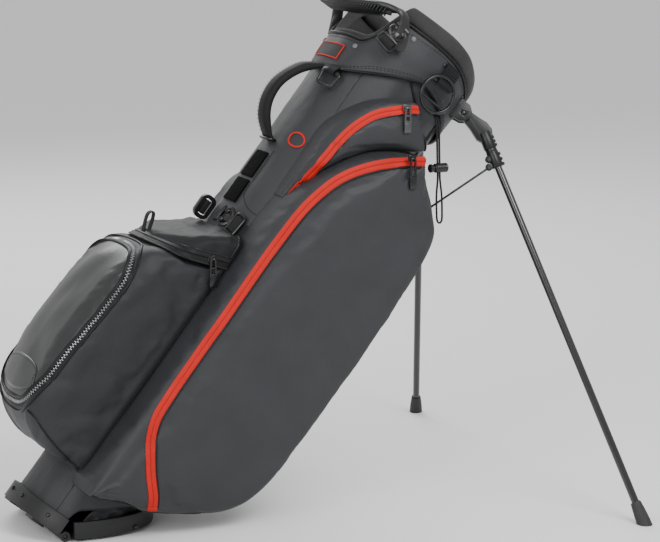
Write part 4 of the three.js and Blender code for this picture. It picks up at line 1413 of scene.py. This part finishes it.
def webbing_patch(name, y, s, half_y, half_s):
    """A flat piece of webbing sewn to the back of the tube, a little askew."""
    lean = 0.1
    grid = []
    for b in np.linspace(-half_s, half_s, 14):
        grid.append([(-220, y + a + b * lean, s + b - a * lean) for a in np.linspace(-half_y, half_y, 14)])
    pressed_sheet(name, TUBE_SKIN, grid, 1.6, BLACK_CLOTH, 1.4)


def spine():
    carry_handle()
    fuzzy_pad("hook_pad_upper_nap", "hook_pad_upper", 575, 618)
    fuzzy_pad("hook_pad_lower_nap", "hook_pad_lower", 532, 570)
    strap_loop()
    side_release_buckle(
        "spine_buckle_body", (-97.5, -43, 505), (-0.90, -0.44, 0), (0.34, -0.92, -0.12), "spine_buckle", 0.95
    )
    webbing_patch("spine_buckle_web", -68, 500, 12, 11)
    webbing_patch("spine_cross_web", -14, 508, 22, 10)
    outline = [
        (-70, -20, 624), (-70, -20, 589), (-70, -19, 552), (-70, -29, 539), (-70, -43, 532),
        (-60, -56, 531), (-55, -61, 538), (-50, -64, 555), (-50, -64, 591), (-55, -60, 653),
    ]
    line = smooth_line(outline, 120)
    starts = line * np.array([3.0, 3.0, 1.0])
    path, up = press(TUBE_SKIN, starts, -unit(line * np.array([1, 1, 0])), 0.2)
    thread = Parts()
    stitching(thread, softened(path, 2) + up * 0.2, up, 3.4, 0.9, 0.55)
    thread.piece("spine_outline_stitching", TRIM)
    circle_starts = [(-300, -62 + 12.5 * math.cos(t), 653 + 10.5 * math.sin(t)) for t in full_turn(48)]
    badge, up = press(TUBE_SKIN, circle_starts, (1, 0.05, 0), 0.9)
    pipe("panel_badge_ring", badge, up, 1.5, RED, squeeze=0.7, closed=True)


spine()


# ---- rings ----
def towel_ring():
    radius, n_centre, s_centre = 26.5, 26, 823
    out_y = -(FRAME[1] + 6.5) - 6.2
    flat = circle(radius, 72)
    loop = np.column_stack([n_centre + flat[:, 0], np.full(72, out_y), s_centre + flat[:, 1]])
    parts = Parts().add(*swept(loop, circle(2.6, 12), (0, 1, 0), closed=True))
    for s in (838, 810):
        half = math.sqrt(radius**2 - (s - s_centre) ** 2)
        chord = np.linspace((n_centre - half, out_y, s), (n_centre + half, out_y, s), 12)
        parts.add(*swept(chord, circle(2.0, 10), (0, 1, 0)))
    parts.piece("towel_ring_loop", PLASTIC_BLACK, body="towel_ring", stands_for=["towel_ring"])
    tab = [
        (28, -103, 869), (27.5, -106.5, 864), (27, -108, 855), (26, -110, 846), (26, -114, 840.5),
        (26, -114.6, 836.5), (26, -111, 834.4), (26, -107.5, 838),
    ]
    tab = smooth_line(tab, 60)
    ridges = 0.8 + 1.1 * (np.arange(60) % 5 < 2)
    up = unit(np.cross(np.array([1.0, 0, 0]), unit(np.gradient(tab, axis=0))))
    if up[20, 1] > 0:
        up = -up
    shape = swept(tab, band(12.5, 0.9), up, sizes=np.column_stack([np.ones(60), ridges]))
    made = piece("towel_tab_web", *shape, BLACK_CLOTH, stands_for=["towel_ring_tab"], recalculate=True)
    free_for_blend(made)
    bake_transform(made)


def strap_ring():
    lay = Matrix.Translation((-101, -46, 763)) @ Matrix.Rotation(math.radians(21), 4, "Z")
    ring = rounded_loop(33, 22.5, 5)
    ring[:, 0] *= 1 + 0.10 * ring[:, 1] / 12
    turn = Matrix(((0, 0, 1, 0), (1, 0, 0, 0), (0, 1, 0, 0), (0, 0, 0, 1)))
    upright = Matrix.Translation((0, 0, -11)) @ turn
    shape = swept(ring, circle(2.6, 10, 0.85), (0, 0, 1), closed=True)
    Parts().add(*shape, lay @ upright).piece(
        "strap_ring_loop", PLASTIC_BLACK, body="strap_ring", stands_for=["strap_ring"], recalculate=True
    )
    hanger = [
        (3.2, 0, 12), (0, 0, 8), (-3.4, 0, 3), (-3.6, 0, -1), (-1, 0, -3.4), (2.6, 0, -1), (3.6, 0, 6),
    ]
    hanger = smooth_line(hanger, 24)
    up = unit(np.cross(unit(np.gradient(hanger, axis=0)), np.array([0, 1.0, 0])))
    Parts().add(*swept(hanger, band(7.5, 0.7), up), lay).piece("strap_ring_web", BLACK_CLOTH)


towel_ring()
strap_ring()


# ---- zip pulls ----
def zip_pull(node, place, length, look, slider_turn):
    """A slider body on the zip and its pull, hanging straight down with two windows."""
    hang = BAG @ Matrix.Translation(Vector(place) * MM) @ Matrix.Rotation(-LEAN, 4, "Y")
    parts = Parts()
    for z, width in ((0.3, 7), (-length * 0.32, 9.5), (-length * 0.55, 10)):
        parts.add(*rounded_block((width, 2.6, 3.0), 0.7, 1), Matrix.Translation((0, 0, z)))
    for x in (-4.2, 4.2):
        rail = np.linspace((x * 0.75, 0, 1.5), (x, 0, -length * 0.6), 8)
        parts.add(*swept(rail, band(1.3, 1.2), (0, 1, 0)))
    tongue = rounded_block((11, 2.8, length * 0.42), 1.1)
    parts.add(*tongue, Matrix.Translation((0, 0, -length * 0.79)))
    parts.piece(f"{node}_tag", look, body=node, place=hang, stands_for=[node])
    turn = Matrix.Rotation(slider_turn, 4, "Y")
    bridge = smooth_line([(-4, 2, 0), (-2.5, -1.2, 0), (2.5, -1.2, 0), (4, 2, 0)], 12)
    slider = Parts().add(*rounded_block((13, 3.4, 9), 1.4), turn @ Matrix.Translation((0, 3.4, 0)))
    slider.add(*swept(bridge, circle(1.3), (0, 1, 0)), turn)
    slider.piece(f"{node}_slider", look, place=hang)


zip_pull("valuables_pull", (-6, -VALUABLES_Y - 5.5, 778), 36, PULL_STEEL, 0.1)
zip_pull("apparel_pull", (35, -POCKET_Y - 5.5, 722), 44, PULL_BLACK, 0.1)
zip_pull("hood_pull", (-108, -BALL_HALF - 5.5, 440), 40, PULL_BLACK, -0.35)


# ---- base gusset ----
def gusset():
    """The cloth bellows between the flexed base plate and the cut end of the tube, with loose folds."""
    angles = even_angles(-1.85, 1.85, 110, *TUBE)
    n_plate, y_plate = superellipse(angles, 96, 93)
    n_tube, y_tube = superellipse(angles, TUBE[0] - 4.5, TUBE[1] - 4.5)
    high = np.stack([n_tube, y_tube, tube_bottom(angles) + 6], 1)
    out = n_plate - HINGE.x
    rows = []
    for v in np.linspace(0, 1, 26):
        up = 4 + 26 * min(1, 2 * v) * np.minimum(1, out / 90)
        low = np.stack([HINGE.x + out * math.cos(LEAN) - up * math.sin(LEAN), y_plate,
                        HINGE.z + out * math.sin(LEAN) + up * math.cos(LEAN)], 1)
        blend = max(0.0, 2 * v - 1)
        rows.append(low * (1 - blend) + high * blend)
    points = np.array(rows)
    outward = unit((points - np.array([0, 0, 60.0])) * np.array([1, 1, 0.3]))
    for i, j, n, y, s in each_point(points):
        room = math.sin(math.pi * i / 25) ** 0.5
        fold = ripple((n * 0.8 + s, y * 0.9, s * 1.2 - n * 0.4), 17, 7.0) + ripple((n, y, s), 8, 1.6)
        points[i, j] += outward[i, j] * (min(fold, 3.5) - 2.0) * room
    centre = from_point(0, 0, 60)
    # The gusset gets the darker copy of the charcoal fabric, which paints shade at the base.
    sheet("base_gusset_cloth", points, SHADED_CHARCOAL, centre, CLOTH_THICKNESS, stands_for=["base_gusset"])
    made = bpy.data.objects["base_gusset_cloth"]
    free_for_blend(made)
    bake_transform(made)


gusset()


# ---- rivets of the base ----
def base_rivets():
    """Round heads on the cup's rim, and on the plate's front edge."""
    heads = []
    for side in (-1, 1):
        for n, y, s in ((-107.2, 21, 20), (-81.5, 76.5, 19)):
            heads.append(((n, side * y, s), (n, side * y * 0.9, 0)))
    rivets("base_cup_rivets", heads, STEEL, 3.0)
    parts = Parts()
    head = turned([(0, -1.5), (3.2, -1.2), (3.2, 0.6), (2.7, 1.2), (0, 1.4)], 18)
    for across, s in ((-335, 14), (-264, 9)):
        for side in (-1, 1):
            parts.add(*head, frame_at((across, side * 95, s), (0.05, side, 0.05), (0, 0, 1)))
    parts.piece("base_plate_rivets", STEEL, body="base_plate", place=Matrix.Identity(4), smooth=50)


base_rivets()


# ---- legs ----
def leg_frame():
    out = Vector((math.cos(LEG_SPLAY), -math.sin(LEG_SPLAY), 0))
    up = Vector((0, 0, 1))
    down = out * math.sin(LEG_OPEN) - up * math.cos(LEG_OPEN)
    inward = -out * math.cos(LEG_OPEN) - up * math.sin(LEG_OPEN)
    side = Vector((math.sin(LEG_SPLAY), math.cos(LEG_SPLAY), 0))
    knee = LEG_PIN + out * 46 - up * 9.4
    return knee, down, inward, side


def height_of(point):
    return (BAG @ (Vector(point) * MM)).z / MM


KNEE, DOWN, INWARD, SIDE = leg_frame()
FALL = height_of(KNEE) - height_of(KNEE + DOWN)
LEG_LENGTH = height_of(KNEE) / FALL


def both_sides(name, parts, look, body, stands=False):
    """The near piece and its mirror image on the far side, each on its own body."""
    points, faces = parts.points, parts.faces
    for side in ("near", "far"):
        piece(f"{name}_{side}_form", points, faces, look, body=f"{body}_{side}",
              stands_for=[f"{name}_{side}"] if stands else (), recalculate=True)
        points = [(n, -y, s) for n, y, s in points]
        faces = [tuple(reversed(face)) for face in faces]


def on_leg(along, toward=0.0, sideways=0.0):
    return KNEE + DOWN * along + INWARD * toward + SIDE * sideways


def foot():
    """A ribbed rubber foot whose end is cut level with the floor."""
    made = Parts()
    sections = ((-34, 7.0), (-32, 7.8), (-28, 8.2), (-24, 8.8), (-14, 9.8), (-4, 10.4), (0, 10.6))
    sides, last = 28, len(sections) - 1
    for i, (along, radius) in enumerate(sections):
        for j, turn in enumerate(full_turn(sides)):
            grip = radius - (0.7 if (j % 2 and 2 < i < 6) else 0)
            point = on_leg(LEG_LENGTH + along)
            point = point + (INWARD * math.cos(turn) + SIDE * math.sin(turn)) * grip
            below = height_of(point) - 0.35
            if i == last or below < 0:
                point = point + DOWN * (below / FALL)
            made.points.append(tuple(point))
    made.faces = grid_faces(len(sections), sides, wrap=True)
    made.faces.append(tuple(range(sides - 1, -1, -1)))
    made.faces.append(tuple(last * sides + j for j in range(sides)))
    return made


def leg_pieces():
    stations = [on_leg(a) for a in np.linspace(4, LEG_LENGTH - 21, 30)]
    tube = Parts().add(*swept(stations, circle(5.5, 32), INWARD))
    ring = turned([(0, -3), (8.2, -3), (8.6, -1.5), (8.6, 1.5), (8.2, 3), (0, 3)], 28)
    notches = Parts()
    tooth = rounded_block((4.2, 9, 3.4), 0.9)
    for along in (4, 10, 16, 30, 38, 46):
        toward = -9.6 if along < 20 else -9.2
        notches.add(*tooth, frame_at(on_leg(along, toward), INWARD, DOWN))
    screws = Parts()
    head = turned([(0, -2), (3.4, -2), (3.4, 0.6), (2.6, 1.4), (1.4, 1.4), (1.2, 0.6), (0, 0.6)], 16)
    for along, toward in ((33, 9), (44, 13)):
        screws.add(*head, frame_at(on_leg(along, toward, -6.8), -SIDE, DOWN))
    boss = turned([(0, -3), (5.2, -3), (5.2, 2.4), (4.4, 3.4), (0, 3.4)], 20)
    both_sides("leg_tube", tube, GLOSS_TUBE, "leg", stands=True)
    both_sides("foot", foot(), RUBBER, "leg", stands=True)
    both_sides("leg_ring", Parts().add(*ring, frame_at(on_leg(22), DOWN, INWARD)), ARM_PLASTIC, "leg")
    both_sides("leg_notches", notches, ARM_PLASTIC, "leg")
    both_sides("clamp_screws", screws, STEEL, "leg")
    lobe = Parts().add(*boss, frame_at(on_leg(33, 9, -3.2), -SIDE, DOWN))
    both_sides("clamp_lobe", lobe, ARM_PLASTIC, "leg")


leg_pieces()


def wires():
    """Round wires from the clamps to the yoke, with an eye at the clamp end."""
    pivot = on_leg(44, 13)
    path = np.linspace(pivot, (110, -16, 565), 24)
    eye = turned([(0, -1.9), (3.2, -1.9), (3.5, -1.2), (3.5, 1.0), (3.2, 1.6), (0, 1.6)], 18)
    parts = Parts().add(*swept(path, circle(1.7, 14), (0, 1, 0)))
    parts.add(*eye, frame_at(pivot, SIDE, DOWN))
    both_sides("wire", parts, STEEL, "wire", stands=True)


wires()


# ---- drawstring ----
CORD_DIAMETER = 3.0
LOCK_PLACE = BAG @ (Vector((91.8, -116, 740.5)) * MM)
HANG = Matrix.Translation(LOCK_PLACE) @ Matrix.Rotation(math.radians(-3), 4, "X")
CORD_SPREAD = 4.3
CORD_TOP = [
    (1.8, 22, 78), (1.8, 12, 77), (1.8, 4, 71), (1.8, 0, 60), (1.8, 0, 40), (1.8, 0, 10), (1.8, 0, -14),
]
CORD_LOW = [(2.6, 0, -24), (CORD_SPREAD, 0, -42), (CORD_SPREAD, 0, -70), (3.2, 0, -77), (0, 0, -80)]


def drawstring():
    right = [*CORD_TOP, *CORD_LOW]
    left = [(-x, y, z) for x, y, z in reversed(right[:-1])]
    route = smooth_line([*right, *left], 150)
    data = bpy.data.curves.new("drawstring", "CURVE")
    data.dimensions = "3D"
    data.bevel_depth = CORD_DIAMETER / 2 * MM
    data.bevel_resolution = 4
    data.use_fill_caps = True
    spline = data.splines.new("POLY")
    spline.points.add(len(route) - 1)
    world = [HANG @ (Vector(point) * MM) for point in route]
    for point, place in zip(spline.points, world):
        point.co = (*place, 1)
    data.materials.append(BLACK_CLOTH[0])
    cord = bpy.data.objects.new("drawstring", data)
    scene.collection.objects.link(cord)
    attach(cord, "bag")
    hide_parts("cord_loop")


def cord_lock():
    """A ribbed barrel with a sprung button, on the two strands."""
    lay = HANG @ Matrix.Rotation(math.pi / 2, 4, "Y")
    barrel = [(0, -3.6), (4.8, -3.6), (4.8, -7), (5.9, -7), (6.8, -6)]
    for step in range(6):
        height = -4.5 + 2.6 * step
        barrel += [(6.8, height), (6.4, height + 0.5), (6.4, height + 0.9), (6.8, height + 1.4)]
    barrel += [(6.8, 12.3), (5.6, 13.5), (0, 13.5)]
    button = [
        (0, -15), (5.2, -15), (6.3, -14), (6.3, -11.2), (5.8, -10.5), (4.4, -10.4), (4.4, -6.8),
        (0, -6.8),
    ]
    for name, profile, body in (
        ("cord_lock_shell", barrel, "cord_lock"), ("cord_lock_button", button, "cord_lock_plunger"),
    ):
        shape = turned(profile, 28)
        piece(name, *shape, PLASTIC_BLACK, body=body, place=lay, stands_for=[body], recalculate=True)


cord_lock()
drawstring()


# ---- the CAD pieces that stay, with their materials ----
STAYING = {
    "top_frame": PLASTIC, "base_cup": BASE_PLASTIC, "base_plate": BASE_PLASTIC, "base_hinge_pin": STEEL,
    "actuator_rod": PLASTIC_BLACK, "actuator_guide_upper": BLACK_CLOTH, "actuator_guide_lower": BLACK_CLOTH,
    "actuator_link": STEEL, "stay_rod_near": ROD, "stay_rod_far": ROD,
    "leg_bracket_near": PLASTIC_GREY, "leg_bracket_far": PLASTIC_GREY,
    "leg_pin_near": STEEL, "leg_pin_far": STEEL,
    "elbow_near": ARM_PLASTIC, "elbow_far": ARM_PLASTIC, "wire_clamp_near": ARM_PLASTIC,
    "wire_clamp_far": ARM_PLASTIC,
}


def dress_staying():
    for name, (material, slot) in STAYING.items():
        node = frame["nodes"][name]
        node.data.materials.clear()
        node.data.materials.append(material)
        weld = node.modifiers.new("weld", "WELD")
        weld.merge_threshold = 0.00001
        bevel = node.modifiers.new("edges", "BEVEL")
        bevel.width = 0.0009
        bevel.segments = 2
        bevel.limit_method = "ANGLE"
        bevel.angle_limit = math.radians(35)
        bevel.harden_normals = False
        node.data.polygons.foreach_set("use_smooth", [True] * len(node.data.polygons))


dress_staying()


# ---- floor and light ----
def stage():
    ground = bpy.data.meshes.new("floor")
    reach = 40
    ground.from_pydata([(-reach, -reach, 0), (reach, -reach, 0), (reach, reach, 0), (-reach, reach, 0)], [],
                       [(0, 1, 2, 3)])
    floor = bpy.data.objects.new("floor", ground)
    scene.collection.objects.link(floor)
    floor.location.z = cad_box[0].z - 0.0005
    pale = bpy.data.materials.new("pale_floor")
    pale.use_nodes = True
    shader = pale.node_tree.nodes["Principled BSDF"]
    shader.inputs["Base Color"].default_value = (0.86, 0.86, 0.86, 1)
    shader.inputs["Roughness"].default_value = 0.9
    ground.materials.append(pale)
    world = bpy.data.worlds.new("studio")
    world.use_nodes = True
    world.node_tree.nodes["Background"].inputs["Color"].default_value = (1, 1, 1, 1)
    world.node_tree.nodes["Background"].inputs["Strength"].default_value = 0.8
    scene.world = world
    for name, place, size, power in (
        ("key", (0.35, -1.5, 1.75), 0.9, 26),
        ("left", (-2.2, -1.6, 1.6), 1.4, 30),
        ("back", (0.4, 2.4, 2.2), 1.8, 45),
    ):
        data = bpy.data.lights.new(name, "AREA")
        data.size = size
        data.energy = power
        light = bpy.data.objects.new(name, data)
        light.location = place
        aim = Vector((0, 0, 0.35)) - Vector(place)
        light.rotation_euler = aim.to_track_quat("-Z", "Y").to_euler()
        scene.collection.objects.link(light)


stage()

bpy.context.view_layer.update()
